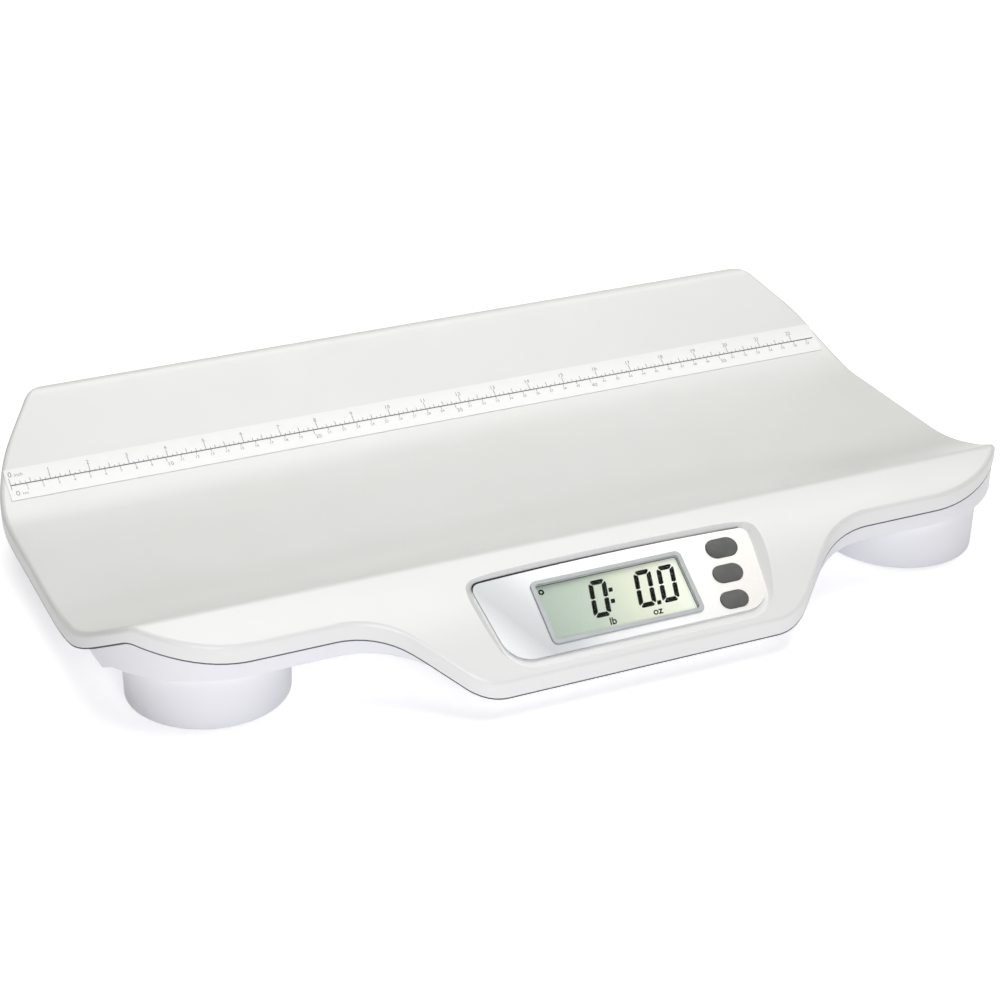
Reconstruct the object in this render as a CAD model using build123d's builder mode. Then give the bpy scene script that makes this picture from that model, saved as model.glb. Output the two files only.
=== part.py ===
from build123d import *
import os
from math import cos, radians, sin, tan

os.makedirs("parts", exist_ok=True)

# Digital baby weighing scale. X runs along its length, +Y to the high back wall, +Z up.
# The origin lies on the floor under the middle of the tray. Millimetres.

# ---- plan outline of the tray -------------------------------------------------------
half_length = 299.0
half_depth = 179.3
bulge_half_width = 98.7
bulge_radius = 35.0
flank_end_x = 148.6
flank_radius = 60.0
toe_radius = 80.0
front_line_setback = 42.8
back_corner_start_setback = 57.6
back_corner_setback = 46.4
back_corner_radius = 90.0
back_straight_radius = 40.0

# ---- section of the tray's top surface ----------------------------------------------
apron_slope = 40.0
shoulder_setback = 39.8
shoulder_z = 56.0
shoulder_radius = 120.0
crest_setback = 70.8
crest_z = 65.6
crest_radius = 8.5
floor_front_setback = 127.0
floor_z = 34.0
floor_front_radius = 145.0
floor_back_setback = 77.1
floor_back_radius = 80.0
back_wall_slope = 38.0
lip_setback = 8.6
lip_radius = 10.0
lip_tail_slope = 50.0
region_overrun = 20.0
region_bottom_z = -60.0

tray_wall = 2.8
skirt_height = 10.0
rim_round = 3.0
upright_limit = 0.001
skirt_gap = 1.2

# ---- base shell ---------------------------------------------------------------------
shell_clearance = 0.4
seat_gap = 0.3
base_wall = 2.4
band_inset = 0.8
base_front_z = 34.8
base_front_slope = 15.0
base_step_setback = 84.3
base_front_radius = 20.0
base_step_radius = 10.0
base_floor_setback = 119.3
base_floor_z = 11.0
base_floor_radius = 15.0
base_back_drop = 38.0
base_back_radius = 40.0
base_end_radius = 50.0
base_end_drop = 1.0
belly_half_width = 88.0
belly_front_setback = 9.3
belly_rear_setback = 129.3
belly_height = 30.0
shelf_half_width = 97.0
shelf_rear_setback = 69.3
shelf_z = 19.5

# ---- feet ---------------------------------------------------------------------------
foot_setback = 70.4
front_foot_setback = 95.9
back_foot_setback = 69.3
sleeve_bottom_z = 1.8
sleeve_radius = 47.3
sleeve_draft = 1.4
sleeve_height = 75.0
sleeve_bore_radius = 45.0
turret_radius = 46.5
web_z = 24.0
web_thickness = 2.5
upper_bore_radius = 43.5

cup_radius = 44.0
cup_bottom_z = 1.5
cup_floor_z = 4.0
cup_floor_thickness = 2.5
cup_top_z = 11.0
cup_rim = 2.0
pad_radius = 39.0
pad_clearance = 0.2
pad_edge = 0.8

cell_length = 60.0
cell_width = 13.0
cell_height = 9.0
cell_bottom_z = 9.5
cell_hole_radius = 3.1
cell_hole_x = 6.0
cell_slot = 2.0
cell_seat_length = 18.0
cell_screw_inner_x = 16.0
cell_screw_outer_x = 26.0

# ---- screws -------------------------------------------------------------------------
screw_radius = 1.5
screw_head_radius = 2.8
screw_head_height = 2.0
tapped_radius = 1.55
through_radius = 1.7
cell_screw_length = 14.0
cup_screw_length = 9.0

case_screw_front_x = 118.0
case_screw_front_setback = 52.3
case_screw_side_x = 140.0
case_screw_mid_setback = 139.3
case_screw_rear_setback = 99.3
case_boss_radius = 4.0
base_boss_radius = 4.8
base_boss_height = 5.4
counterbore_radius = 3.2
counterbore_depth = 2.6
case_hole_depth = 10.0

# ---- display panel ------------------------------------------------------------------
panel_slope = 32.0
panel_setback = 28.85
panel_z = 42.0
plate_centre_x = 2.2
plate_top_half = 89.0
plate_bottom_half = 82.0
plate_top_s = 27.2
plate_crown = 1.8
plate_bottom_s = -25.3
plate_top_radius = 5.0
plate_bottom_radius = 17.0
plate_thickness = 1.4
plate_margin = 0.6
pocket_bottom_margin = 4.0
pocket_height = 9.0
pocket_floor = 2.2
pocket_rib = 2.6

glass_x = -4.6
glass_s = 0.6
glass_length = 91.0
glass_height = 36.0
glass_radius = 2.0
bezel_side = 2.7
bezel_rail = 2.4
bezel_radius = 3.6
bezel_thickness = 1.2
bezel_edge = 0.5
pane_border = 1.9
pane_clearance = 0.2
lcd_thickness = 2.1
lcd_clearance = 0.2
holder_side = 3.5
holder_rail = 3.0
holder_depth = 4.0
holder_gap = 0.1

button_xs = (70.3, 67.0, 63.7)
button_ss = (17.0, 0.3, -16.7)
button_lengths = (20.0, 19.0, 17.5)
button_heights = (12.4, 11.5, 11.0)
button_clearance = 0.2
button_proud = 1.2
button_crown_radius = 36.0
button_round = 0.4
button_flange = 1.2
button_flange_thickness = 0.8
button_gap = 0.1
button_travel = 0.8

board_depth = 8.2
board_thickness = 1.6
board_left = -70.0
board_right = 84.3
board_bottom = -23.0
board_top = 24.0
board_boss_radius = 2.8
board_boss_left = -65.0
board_boss_spacing = 4.1
board_boss_right = 80.5
board_boss_s = 19.5
board_screw_length = 5.0
board_hole_depth = 4.0
switch_side = 6.0
switch_height = 1.6
plunger_radius = 1.6
buzzer_x = 20.0
buzzer_s = 6.0
buzzer_radius = 6.0
buzzer_height = 4.0
connector_x = -45.0
connector_s = 2.0
connector_length = 26.0
connector_width = 6.0
connector_height = 5.0

# ---- length strip -------------------------------------------------------------------
strip_setback = 9.0
strip_width = 23.0
strip_thickness = 0.35
strip_seat = 0.15
strip_angle = 31.3

# ---- battery bay --------------------------------------------------------------------
cell_count = 4
battery_radius = 7.25
battery_length = 50.5
battery_pitch = 14.8
bay_half_width = 30.2
bay_front_setback = 98.8
bay_length = 55.5
bay_wall = 1.5
bay_ceiling_z = 28.2
door_thickness = 2.0
door_clearance = 0.4
door_lift = 0.3
hinge_offset = 2.3
hinge_height = 1.4
hinge_radius = 1.4
hinge_half_length = 25.4
hinge_boss_height = 3.6
hinge_boss_length = 3.0
pin_radius = 0.8
pin_length = 2.0
pin_clearance = 0.07
tab_half_width = 8.0
tab_length = 3.6
tab_thickness = 1.2
contact_thickness = 0.4
contact_width = 11.0
contact_height = 10.0
contact_stud_radius = 2.6

# ---- leads --------------------------------------------------------------------------
lead_radius = 0.8
lead_bend = 3.0
lead_hole_radius = 1.6
lead_hole_offset = 24.0
lead_start_z = 21.0
lead_over_z = 28.3
lead_drop_setback = 121.0
lead_front_setback = 129.3
lead_back_setback = 83.3
lead_front_x = 76.0
lead_back_x = 66.0
lead_turn_setback = 53.3
lead_pitch = 3.0
lead_end_setback = 39.8
lead_end_z = 29.0
pin_pitch = 6.0
outer_pin = 1.5
inner_pin = 0.5
lead_run_gap = 0.1
battery_lead_x = 6.0
battery_lead_lift = 3.0
battery_lead_s = 8.0
battery_lead_tip_gap = 0.55
battery_lead_hole_radius = 1.0

# ---- derived places -----------------------------------------------------------------
front_line_y = front_line_setback - half_depth
shoulder_y = shoulder_setback - half_depth
crest_y = crest_setback - half_depth
floor_front_y = floor_front_setback - half_depth
base_step_y = base_step_setback - half_depth
base_floor_y = base_floor_setback - half_depth
belly_front_y = belly_front_setback - half_depth
belly_rear_y = belly_rear_setback - half_depth
shelf_rear_y = shelf_rear_setback - half_depth
front_foot_y = front_foot_setback - half_depth
case_screw_front_y = case_screw_front_setback - half_depth
case_screw_mid_y = case_screw_mid_setback - half_depth
panel_y = panel_setback - half_depth
bay_front_y = bay_front_setback - half_depth
lead_front_y = lead_front_setback - half_depth
lead_turn_y = lead_turn_setback - half_depth
lead_end_y = lead_end_setback - half_depth
back_corner_start_y = half_depth - back_corner_start_setback
floor_back_y = half_depth - floor_back_setback
lip_y = half_depth - lip_setback
back_foot_y = half_depth - back_foot_setback
case_screw_rear_y = half_depth - case_screw_rear_setback
lead_back_y = half_depth - lead_back_setback
back_corner_x = half_length - back_corner_setback
foot_x = half_length - foot_setback
strip_half_length = half_length - strip_setback
lead_drop_x = half_length - lead_drop_setback
lip_z = floor_z + (lip_y - floor_back_y) * tan(radians(back_wall_slope))
base_inset = tray_wall + shell_clearance
bezel_length = glass_length + 2 * bezel_side
bezel_height = glass_height + 2 * bezel_rail
holder_length = glass_length + 2 * holder_side
holder_height = glass_height + 2 * holder_rail
board_boss_middle = glass_x + holder_length / 2 + board_boss_spacing
front_y = -half_depth - region_overrun
back_y = half_depth + region_overrun
panel = Plane(
    origin=(0, panel_y, panel_z),
    x_dir=(1, 0, 0),
    z_dir=(0, -sin(radians(panel_slope)), cos(radians(panel_slope))),
)
pocket_depth = plate_thickness + pocket_floor
feet = [(x, y) for x in (-foot_x, foot_x) for y in (front_foot_y, back_foot_y)]
foot_names = ["left_front", "left_back", "right_front", "right_back"]
case_screws_at = [
    (-case_screw_front_x, case_screw_front_y, base_front_z),
    (case_screw_front_x, case_screw_front_y, base_front_z),
    (-case_screw_side_x, case_screw_mid_y, base_floor_z),
    (case_screw_side_x, case_screw_mid_y, base_floor_z),
    (-case_screw_side_x, case_screw_rear_y, base_floor_z),
    (case_screw_side_x, case_screw_rear_y, base_floor_z),
    (0, case_screw_rear_y, base_floor_z),
]
board_bosses = [
    (board_boss_left, -board_boss_s),
    (board_boss_left, board_boss_s),
    (board_boss_middle, board_boss_s),
    (board_boss_right, -board_boss_s),
]
bay_rear_y = bay_front_y + bay_length
bay_centre_y = (bay_front_y + bay_rear_y) / 2
hinge_y = bay_rear_y + hinge_offset
hinge_z = base_floor_z + hinge_height
battery_z = base_floor_z + door_thickness + door_lift + battery_radius

# ---- shared sketches ----------------------------------------------------------------
# Plan outline: display bulge in the middle, a round toe over each front foot, cut
# corners at the back.
with BuildSketch() as body_outline:
    with BuildLine():
        FilletPolyline(
            (0, -half_depth),
            (bulge_half_width, -half_depth),
            (flank_end_x, front_line_y),
            (half_length, front_line_y),
            (half_length, back_corner_start_y),
            (back_corner_x, half_depth),
            (0, half_depth),
            radius=(
                bulge_radius,
                flank_radius,
                toe_radius,
                back_corner_radius,
                back_straight_radius,
            ),
        )
        mirror(about=Plane.YZ)
    make_face()

# Everything under the tray's top surface, seen from the end.
with BuildSketch(Plane.YZ) as top_region:
    with BuildLine():
        top_curve = FilletPolyline(
            (front_y, shoulder_z - (shoulder_y - front_y) * tan(radians(apron_slope))),
            (shoulder_y, shoulder_z),
            (crest_y, crest_z),
            (floor_front_y, floor_z),
            (floor_back_y, floor_z),
            (lip_y, lip_z),
            (back_y, lip_z - (back_y - lip_y) * tan(radians(lip_tail_slope))),
            radius=(
                shoulder_radius,
                crest_radius,
                floor_front_radius,
                floor_back_radius,
                lip_radius,
            ),
        )
        Polyline(
            top_curve @ 1, (back_y, region_bottom_z), (front_y, region_bottom_z), top_curve @ 0
        )
    make_face()

# Everything over the underside of the base, seen from the end.
base_back_y = floor_back_y + (base_floor_z - floor_z + base_back_drop) / tan(
    radians(back_wall_slope)
)
with BuildSketch(Plane.YZ) as base_region:
    with BuildLine():
        under_curve = FilletPolyline(
            (front_y, base_front_z + (front_y - front_line_y) * tan(radians(base_front_slope))),
            (front_line_y, base_front_z),
            (base_step_y, base_front_z),
            (base_floor_y, base_floor_z),
            (base_back_y, base_floor_z),
            (back_y, base_floor_z + (back_y - base_back_y) * tan(radians(back_wall_slope))),
            radius=(base_front_radius, base_step_radius, base_floor_radius, base_back_radius),
        )
        Polyline(under_curve @ 1, (back_y, half_depth), (front_y, half_depth), under_curve @ 0)
    make_face()

# Front view of the base: its ends round in like a bowl.
with BuildSketch(Plane.XZ) as base_front_region:
    with Locations((0, base_floor_z - base_end_drop + half_depth / 2)):
        Rectangle(2 * (half_length - band_inset + base_end_drop), half_depth)
    fillet(base_front_region.vertices().group_by(Axis.Y)[0], base_end_radius)

# The same sections and outlines set in by walls and clearances.
tray_inner_region = offset(top_region.sketch, -tray_wall)
base_seat_region = offset(top_region.sketch, -tray_wall - seat_gap)
skirt_region = top_region.sketch.moved(Location((0, 0, -skirt_height)))
sleeve_top_region = top_region.sketch.moved(Location((0, 0, -skirt_height - skirt_gap)))
strip_region = offset(top_region.sketch, strip_seat + strip_thickness)
strip_seat_region = offset(top_region.sketch, strip_seat)
base_inner_region = offset(base_region.sketch, -base_wall)
base_inner_front_region = offset(base_front_region.sketch, -base_wall)
tray_inner_outline = offset(body_outline.sketch, -tray_wall)
base_outline = offset(body_outline.sketch, -base_inset)
base_inner_outline = offset(body_outline.sketch, -base_inset - base_wall)
band_outline = offset(body_outline.sketch, -band_inset)
band_inner_outline = offset(body_outline.sketch, -band_inset - base_wall)
band_inner_top_region = offset(sleeve_top_region, -base_wall)

# ---- tray shell ---------------------------------------------------------------------
# Solid form of the tray: the curved section cut to the plan outline, rim rounded.
with BuildPart() as tray_form:
    extrude(top_region.sketch, amount=half_length + region_overrun, both=True)
    extrude(body_outline.sketch, amount=half_length, both=True, mode=Mode.INTERSECT)
    walls = tray_form.faces().filter_by(lambda f: abs(f.normal_at().Z) < upright_limit)
    rim = walls.edges().filter_by(lambda e: e.center().Z > 0)
    fillet(rim.filter_by(Axis.Z, reverse=True), rim_round)

with BuildPart() as tray_hollow:
    extrude(tray_inner_region, amount=half_length + region_overrun, both=True)
    extrude(tray_inner_outline, amount=half_length, both=True, mode=Mode.INTERSECT)

# Outline of the faceplate on the panel plane, with a crowned top edge.
with BuildSketch() as plate_outline:
    with BuildLine():
        plate_top = ThreePointArc(
            (plate_centre_x + plate_top_half, plate_top_s),
            (plate_centre_x, plate_top_s + plate_crown),
            (plate_centre_x - plate_top_half, plate_top_s),
        )
        Polyline(
            plate_top @ 1,
            (plate_centre_x - plate_bottom_half, plate_bottom_s),
            (plate_centre_x + plate_bottom_half, plate_bottom_s),
            plate_top @ 0,
        )
    make_face()
    fillet(plate_outline.vertices().group_by(Axis.Y)[-1], plate_top_radius)
    fillet(plate_outline.vertices().group_by(Axis.Y)[0], plate_bottom_radius)

# The recess for the faceplate is a little larger and runs on below it.
plate_room = offset(plate_outline.sketch, plate_margin)
with BuildSketch() as pocket_outline:
    add(plate_room)
    with Locations((0, -pocket_bottom_margin)):
        add(plate_room)
pocket_mouth = offset(pocket_outline.sketch, pocket_height + plate_thickness)
pocket_back = offset(pocket_outline.sketch, pocket_rib)
pocket_room = offset(pocket_outline.sketch, pocket_rib + shell_clearance)

# Block under the recess that gives it a floor of its own.
with BuildPart() as pocket_block:
    with BuildSketch(panel.offset(-pocket_depth)):
        add(pocket_back)
    extrude(amount=pocket_height + pocket_depth)
    add(tray_form.part, mode=Mode.INTERSECT)

with BuildPart() as tray_bosses:
    for x, y, z in case_screws_at:
        with BuildSketch(Plane.XY.offset(z + base_boss_height + seat_gap)):
            with Locations((x, y)):
                Circle(case_boss_radius)
        extrude(amount=half_depth)
    add(tray_form.part, mode=Mode.INTERSECT)

with BuildPart() as tray_shell:
    add(tray_form.part)
    add(tray_hollow.part, mode=Mode.SUBTRACT)
    extrude(skirt_region, amount=half_length + region_overrun, both=True, mode=Mode.SUBTRACT)
    add(pocket_block.part)
    add(tray_bosses.part)
    # recess with slanting walls
    with BuildSketch(panel.offset(-plate_thickness)):
        add(pocket_outline.sketch)
    with BuildSketch(panel.offset(pocket_height)):
        add(pocket_mouth)
    loft(mode=Mode.SUBTRACT)
    # display and button openings
    with BuildSketch(panel.offset(-pocket_depth)):
        with Locations((glass_x, glass_s)):
            RectangleRounded(glass_length, glass_height, glass_radius)
        for x, s, length, height in zip(button_xs, button_ss, button_lengths, button_heights):
            with Locations((x, s)):
                SlotOverall(length + 2 * button_clearance, height + 2 * button_clearance)
    extrude(amount=pocket_depth, mode=Mode.SUBTRACT)
    # bosses behind the recess that carry the board
    with BuildSketch(panel.offset(-board_depth)):
        with Locations(*board_bosses):
            Circle(board_boss_radius)
    extrude(amount=board_depth - pocket_depth + seat_gap)
    with BuildSketch(panel.offset(-board_depth)):
        with Locations(*board_bosses):
            Circle(tapped_radius)
    extrude(amount=board_hole_depth, mode=Mode.SUBTRACT)
    # screw holes in the case bosses
    for x, y, z in case_screws_at:
        with BuildSketch(Plane.XY.offset(z + base_boss_height + seat_gap)):
            with Locations((x, y)):
                Circle(tapped_radius)
        extrude(amount=case_hole_depth, mode=Mode.SUBTRACT)

tray_shell.part.label = "tray_shell"
export_step(tray_shell.part, "parts/tray_shell.step")

# ---- base shell ---------------------------------------------------------------------
# Everything between the underside and the tray, before it is cut to an outline.
with BuildPart() as base_block:
    extrude(base_region.sketch, amount=half_length + region_overrun, both=True)
    extrude(base_front_region.sketch, amount=half_depth, both=True, mode=Mode.INTERSECT)
    with BuildSketch(Plane.XY.offset(base_floor_z)):
        with Locations((0, (belly_front_y + belly_rear_y) / 2)):
            Rectangle(2 * belly_half_width, belly_rear_y - belly_front_y)
    extrude(amount=belly_height)
    with BuildSketch(Plane.XY.offset(shelf_z)):
        with Locations((0, (shelf_rear_y - half_depth) / 2)):
            Rectangle(2 * shelf_half_width, shelf_rear_y + half_depth)
    extrude(amount=belly_height)

# Upstand that goes up inside the tray's skirt.
with BuildPart() as base_upstand:
    add(base_block.part)
    extrude(
        base_seat_region, amount=half_length + region_overrun, both=True, mode=Mode.INTERSECT
    )
    extrude(base_outline, amount=half_length, both=True, mode=Mode.INTERSECT)

# Band under the skirt, nearly flush with it.
with BuildPart() as base_band:
    add(base_block.part)
    extrude(
        sleeve_top_region, amount=half_length + region_overrun, both=True, mode=Mode.INTERSECT
    )
    extrude(band_outline, amount=half_length, both=True, mode=Mode.INTERSECT)

with BuildPart() as base_sleeves:
    with BuildSketch(Plane.XY.offset(sleeve_bottom_z)):
        with Locations(*feet):
            Circle(sleeve_radius)
    extrude(amount=sleeve_height, taper=-sleeve_draft)
    extrude(
        sleeve_top_region, amount=half_length + region_overrun, both=True, mode=Mode.INTERSECT
    )

with BuildPart() as base_room:
    extrude(base_inner_region, amount=half_length + region_overrun, both=True)
    extrude(base_inner_front_region, amount=half_depth, both=True, mode=Mode.INTERSECT)
    with BuildSketch(Plane.XY.offset(base_floor_z + base_wall)):
        with Locations((0, (belly_front_y + base_wall + belly_rear_y) / 2)):
            Rectangle(
                2 * (belly_half_width - base_wall), belly_rear_y - belly_front_y - base_wall
            )
    extrude(amount=belly_height)
    with BuildSketch(Plane.XY.offset(shelf_z + base_wall)):
        with Locations((0, (shelf_rear_y - half_depth) / 2)):
            Rectangle(2 * (shelf_half_width - base_wall), shelf_rear_y + half_depth)
    extrude(amount=belly_height)

with BuildPart() as upstand_room:
    add(base_room.part)
    extrude(base_inner_outline, amount=half_length, both=True, mode=Mode.INTERSECT)

with BuildPart() as band_room:
    add(base_room.part)
    extrude(
        band_inner_top_region, amount=half_length + region_overrun, both=True, mode=Mode.INTERSECT
    )
    extrude(band_inner_outline, amount=half_length, both=True, mode=Mode.INTERSECT)

with BuildPart() as base_shell:
    add(base_upstand.part)
    add(base_band.part)
    add(base_sleeves.part)
    add(upstand_room.part, mode=Mode.SUBTRACT)
    add(band_room.part, mode=Mode.SUBTRACT)
    # room for the tray's display recess
    with BuildSketch(panel.offset(-pocket_depth - shell_clearance)):
        add(pocket_room)
    extrude(amount=pocket_height, mode=Mode.SUBTRACT)
    # turret over each foot, closed by a web that the load cell hangs from
    with BuildSketch(Plane.XY.offset(base_floor_z)):
        with Locations(*feet):
            Circle(turret_radius)
    extrude(amount=web_z + web_thickness - base_floor_z)
    with BuildSketch():
        with Locations(*feet):
            Circle(sleeve_bore_radius)
    extrude(amount=web_z, mode=Mode.SUBTRACT)
    with BuildSketch(Plane.XY.offset(web_z + web_thickness)):
        with Locations(*feet):
            Circle(upper_bore_radius)
    extrude(amount=half_depth, mode=Mode.SUBTRACT)
    # seat of the load cell's fixed end
    for x, y in feet:
        side = 1 if x < 0 else -1
        with BuildSketch(Plane.XY.offset(cell_bottom_z + cell_height)):
            with Locations((x + side * (cell_length - cell_seat_length) / 2, y)):
                Rectangle(cell_seat_length, cell_width)
        extrude(amount=web_z - cell_bottom_z - cell_height)
        with BuildSketch(Plane.XY.offset(cell_bottom_z + cell_height)):
            with Locations(
                (x + side * cell_screw_inner_x, y), (x + side * cell_screw_outer_x, y)
            ):
                Circle(through_radius)
        extrude(amount=web_z, mode=Mode.SUBTRACT)
    # lead holes in the webs
    for x in (-foot_x, foot_x):
        side = 1 if x < 0 else -1
        with BuildSketch(Plane.XY.offset(web_z)):
            with Locations(
                (x + side * lead_hole_offset, lead_front_y),
                (x + side * lead_hole_offset, lead_back_y),
            ):
                Circle(lead_hole_radius)
        extrude(amount=web_thickness, mode=Mode.SUBTRACT)
    # bosses for the case screws
    for x, y, z in case_screws_at:
        with BuildSketch(Plane.XY.offset(z)):
            with Locations((x, y)):
                Circle(base_boss_radius)
        extrude(amount=base_boss_height)
        with BuildSketch(Plane.XY.offset(z)):
            with Locations((x, y)):
                Circle(through_radius)
        extrude(amount=base_boss_height, mode=Mode.SUBTRACT)
        with BuildSketch(Plane.XY.offset(z)):
            with Locations((x, y)):
                Circle(counterbore_radius)
        extrude(amount=counterbore_depth, mode=Mode.SUBTRACT)
    # battery bay: walls and ceiling, then the cells' room and the door's opening
    with BuildSketch(Plane.XY.offset(base_floor_z)):
        with Locations((0, bay_centre_y)):
            Rectangle(2 * (bay_half_width + bay_wall), bay_length + 2 * bay_wall)
    extrude(amount=bay_ceiling_z + bay_wall - base_floor_z)
    with BuildSketch(Plane.XY.offset(base_floor_z)):
        with Locations((0, bay_centre_y)):
            Rectangle(2 * bay_half_width, bay_length)
    extrude(amount=bay_ceiling_z - base_floor_z, mode=Mode.SUBTRACT)
    # holes for the battery leads
    with BuildSketch(Plane.XZ.offset(-bay_front_y)):
        with Locations(
            (-battery_lead_x, battery_z + battery_lead_lift),
            (battery_lead_x, battery_z + battery_lead_lift),
        ):
            Circle(battery_lead_hole_radius)
    extrude(amount=bay_wall, mode=Mode.SUBTRACT)
    # hinge bosses and the room of the barrel
    with BuildSketch(Plane.XY.offset(base_floor_z)):
        with Locations(
            (hinge_half_length + door_clearance + hinge_boss_length / 2, hinge_y),
            (-hinge_half_length - door_clearance - hinge_boss_length / 2, hinge_y),
        ):
            Rectangle(hinge_boss_length, 2 * hinge_offset)
    extrude(amount=hinge_boss_height)
    with BuildSketch(Plane.XY.offset(base_floor_z)):
        with Locations((0, (bay_rear_y + hinge_y + hinge_radius + door_clearance) / 2)):
            Rectangle(
                2 * (hinge_half_length + door_clearance),
                hinge_offset + hinge_radius + door_clearance,
            )
    extrude(amount=hinge_height + hinge_radius + door_clearance, mode=Mode.SUBTRACT)
    with BuildSketch(Plane.YZ):
        with Locations((hinge_y, hinge_z)):
            Circle(pin_radius + pin_clearance)
    extrude(
        amount=hinge_half_length + pin_length + door_clearance, both=True, mode=Mode.SUBTRACT
    )
    # recess of the latch tab
    with BuildSketch(Plane.XY.offset(base_floor_z)):
        with Locations((0, bay_front_y - tab_length / 2)):
            Rectangle(2 * (tab_half_width + door_clearance), tab_length)
    extrude(amount=tab_thickness + door_clearance, mode=Mode.SUBTRACT)

base_shell.part.label = "base_shell"
export_step(base_shell.part, "parts/base_shell.step")

# ---- length strip on the back wall --------------------------------------------------
strip_centre_y = floor_back_y - floor_back_radius * tan(radians(back_wall_slope / 2))
strip_y = strip_centre_y + floor_back_radius * sin(radians(strip_angle))
strip_z = floor_z + floor_back_radius * (1 - cos(radians(strip_angle)))
with BuildPart() as ruler_strip:
    with BuildSketch(Plane.YZ):
        with Locations((strip_y, strip_z)):
            Rectangle(strip_width, strip_width, rotation=strip_angle)
    extrude(amount=strip_half_length, both=True)
    extrude(strip_region, amount=half_length, both=True, mode=Mode.INTERSECT)
    extrude(strip_seat_region, amount=half_length, both=True, mode=Mode.SUBTRACT)

ruler_strip.part.label = "ruler_strip"
export_step(ruler_strip.part, "parts/ruler_strip.step")

# ---- display ------------------------------------------------------------------------
with BuildPart() as faceplate:
    with BuildSketch(panel.offset(-plate_thickness)):
        add(plate_outline.sketch)
        with Locations((glass_x, glass_s)):
            RectangleRounded(
                glass_length + 2 * pane_border,
                glass_height + 2 * pane_border,
                glass_radius,
                mode=Mode.SUBTRACT,
            )
        for x, s, length, height in zip(button_xs, button_ss, button_lengths, button_heights):
            with Locations((x, s)):
                SlotOverall(
                    length + 2 * button_clearance,
                    height + 2 * button_clearance,
                    mode=Mode.SUBTRACT,
                )
    extrude(amount=plate_thickness)

faceplate.part.label = "faceplate"
export_step(faceplate.part, "parts/faceplate.step")

with BuildPart() as lcd_bezel:
    with BuildSketch(panel):
        with Locations((glass_x, glass_s)):
            RectangleRounded(bezel_length, bezel_height, bezel_radius)
    extrude(amount=bezel_thickness)
    bezel_front = lcd_bezel.faces().sort_by(Axis(panel.origin, panel.z_dir))[-1]
    fillet(bezel_front.edges(), bezel_edge)
    with BuildSketch(panel):
        with Locations((glass_x, glass_s)):
            RectangleRounded(glass_length, glass_height, glass_radius)
    extrude(amount=bezel_thickness, mode=Mode.SUBTRACT)

lcd_bezel.part.label = "lcd_bezel"
export_step(lcd_bezel.part, "parts/lcd_bezel.step")

with BuildPart() as display_window:
    with BuildSketch(panel.offset(-plate_thickness)):
        with Locations((glass_x, glass_s)):
            RectangleRounded(
                glass_length + 2 * (pane_border - pane_clearance),
                glass_height + 2 * (pane_border - pane_clearance),
                glass_radius,
            )
    extrude(amount=plate_thickness)

display_window.part.label = "display_window"
export_step(display_window.part, "parts/display_window.step")

with BuildPart() as lcd_panel:
    with BuildSketch(panel.offset(-plate_thickness - lcd_thickness)):
        with Locations((glass_x, glass_s)):
            RectangleRounded(
                glass_length - 2 * lcd_clearance, glass_height - 2 * lcd_clearance, glass_radius
            )
    extrude(amount=lcd_thickness)

lcd_panel.part.label = "lcd_panel"
export_step(lcd_panel.part, "parts/lcd_panel.step")

with BuildPart() as lcd_holder:
    with BuildSketch(panel.offset(-pocket_depth - holder_gap)):
        with Locations((glass_x, glass_s)):
            Rectangle(holder_length, holder_height)
    extrude(amount=-holder_depth)

lcd_holder.part.label = "lcd_holder"
export_step(lcd_holder.part, "parts/lcd_holder.step")

# ---- board and what stands on it ----------------------------------------------------
with BuildPart() as main_board:
    with BuildSketch(panel.offset(-board_depth)):
        with Locations(((board_left + board_right) / 2, (board_bottom + board_top) / 2)):
            Rectangle(board_right - board_left, board_top - board_bottom)
        with Locations(*board_bosses):
            Circle(through_radius, mode=Mode.SUBTRACT)
    extrude(amount=-board_thickness)

main_board.part.label = "main_board"
export_step(main_board.part, "parts/main_board.step")

with BuildPart() as key_switches:
    with BuildSketch(panel.offset(-board_depth)):
        with Locations(*zip(button_xs, button_ss)):
            Rectangle(switch_side, switch_side)
    extrude(amount=switch_height)
    with BuildSketch(panel.offset(-board_depth)):
        with Locations(*zip(button_xs, button_ss)):
            Circle(plunger_radius)
    extrude(
        amount=board_depth
        - pocket_depth
        - button_gap
        - button_flange_thickness
        - button_travel
        - button_gap
    )

key_switches.part.label = "key_switches"
export_step(key_switches.part, "parts/key_switches.step")

with BuildPart() as buzzer:
    with BuildSketch(panel.offset(-board_depth - board_thickness)):
        with Locations((buzzer_x, buzzer_s)):
            Circle(buzzer_radius)
    extrude(amount=-buzzer_height)

buzzer.part.label = "buzzer"
export_step(buzzer.part, "parts/buzzer.step")

with BuildPart() as lead_connector:
    with BuildSketch(panel.offset(-board_depth - board_thickness)):
        with Locations((connector_x, connector_s)):
            Rectangle(connector_length, connector_width)
    extrude(amount=-connector_height)

lead_connector.part.label = "lead_connector"
export_step(lead_connector.part, "parts/lead_connector.step")

with BuildPart() as board_screws:
    with BuildSketch(panel.offset(-board_depth - board_thickness)):
        with Locations(*board_bosses):
            Circle(screw_head_radius)
    extrude(amount=-screw_head_height)
    with BuildSketch(panel.offset(-board_depth - board_thickness)):
        with Locations(*board_bosses):
            Circle(screw_radius)
    extrude(amount=board_screw_length)

board_screws.part.label = "board_screws"
export_step(board_screws.part, "parts/board_screws.step")

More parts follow.
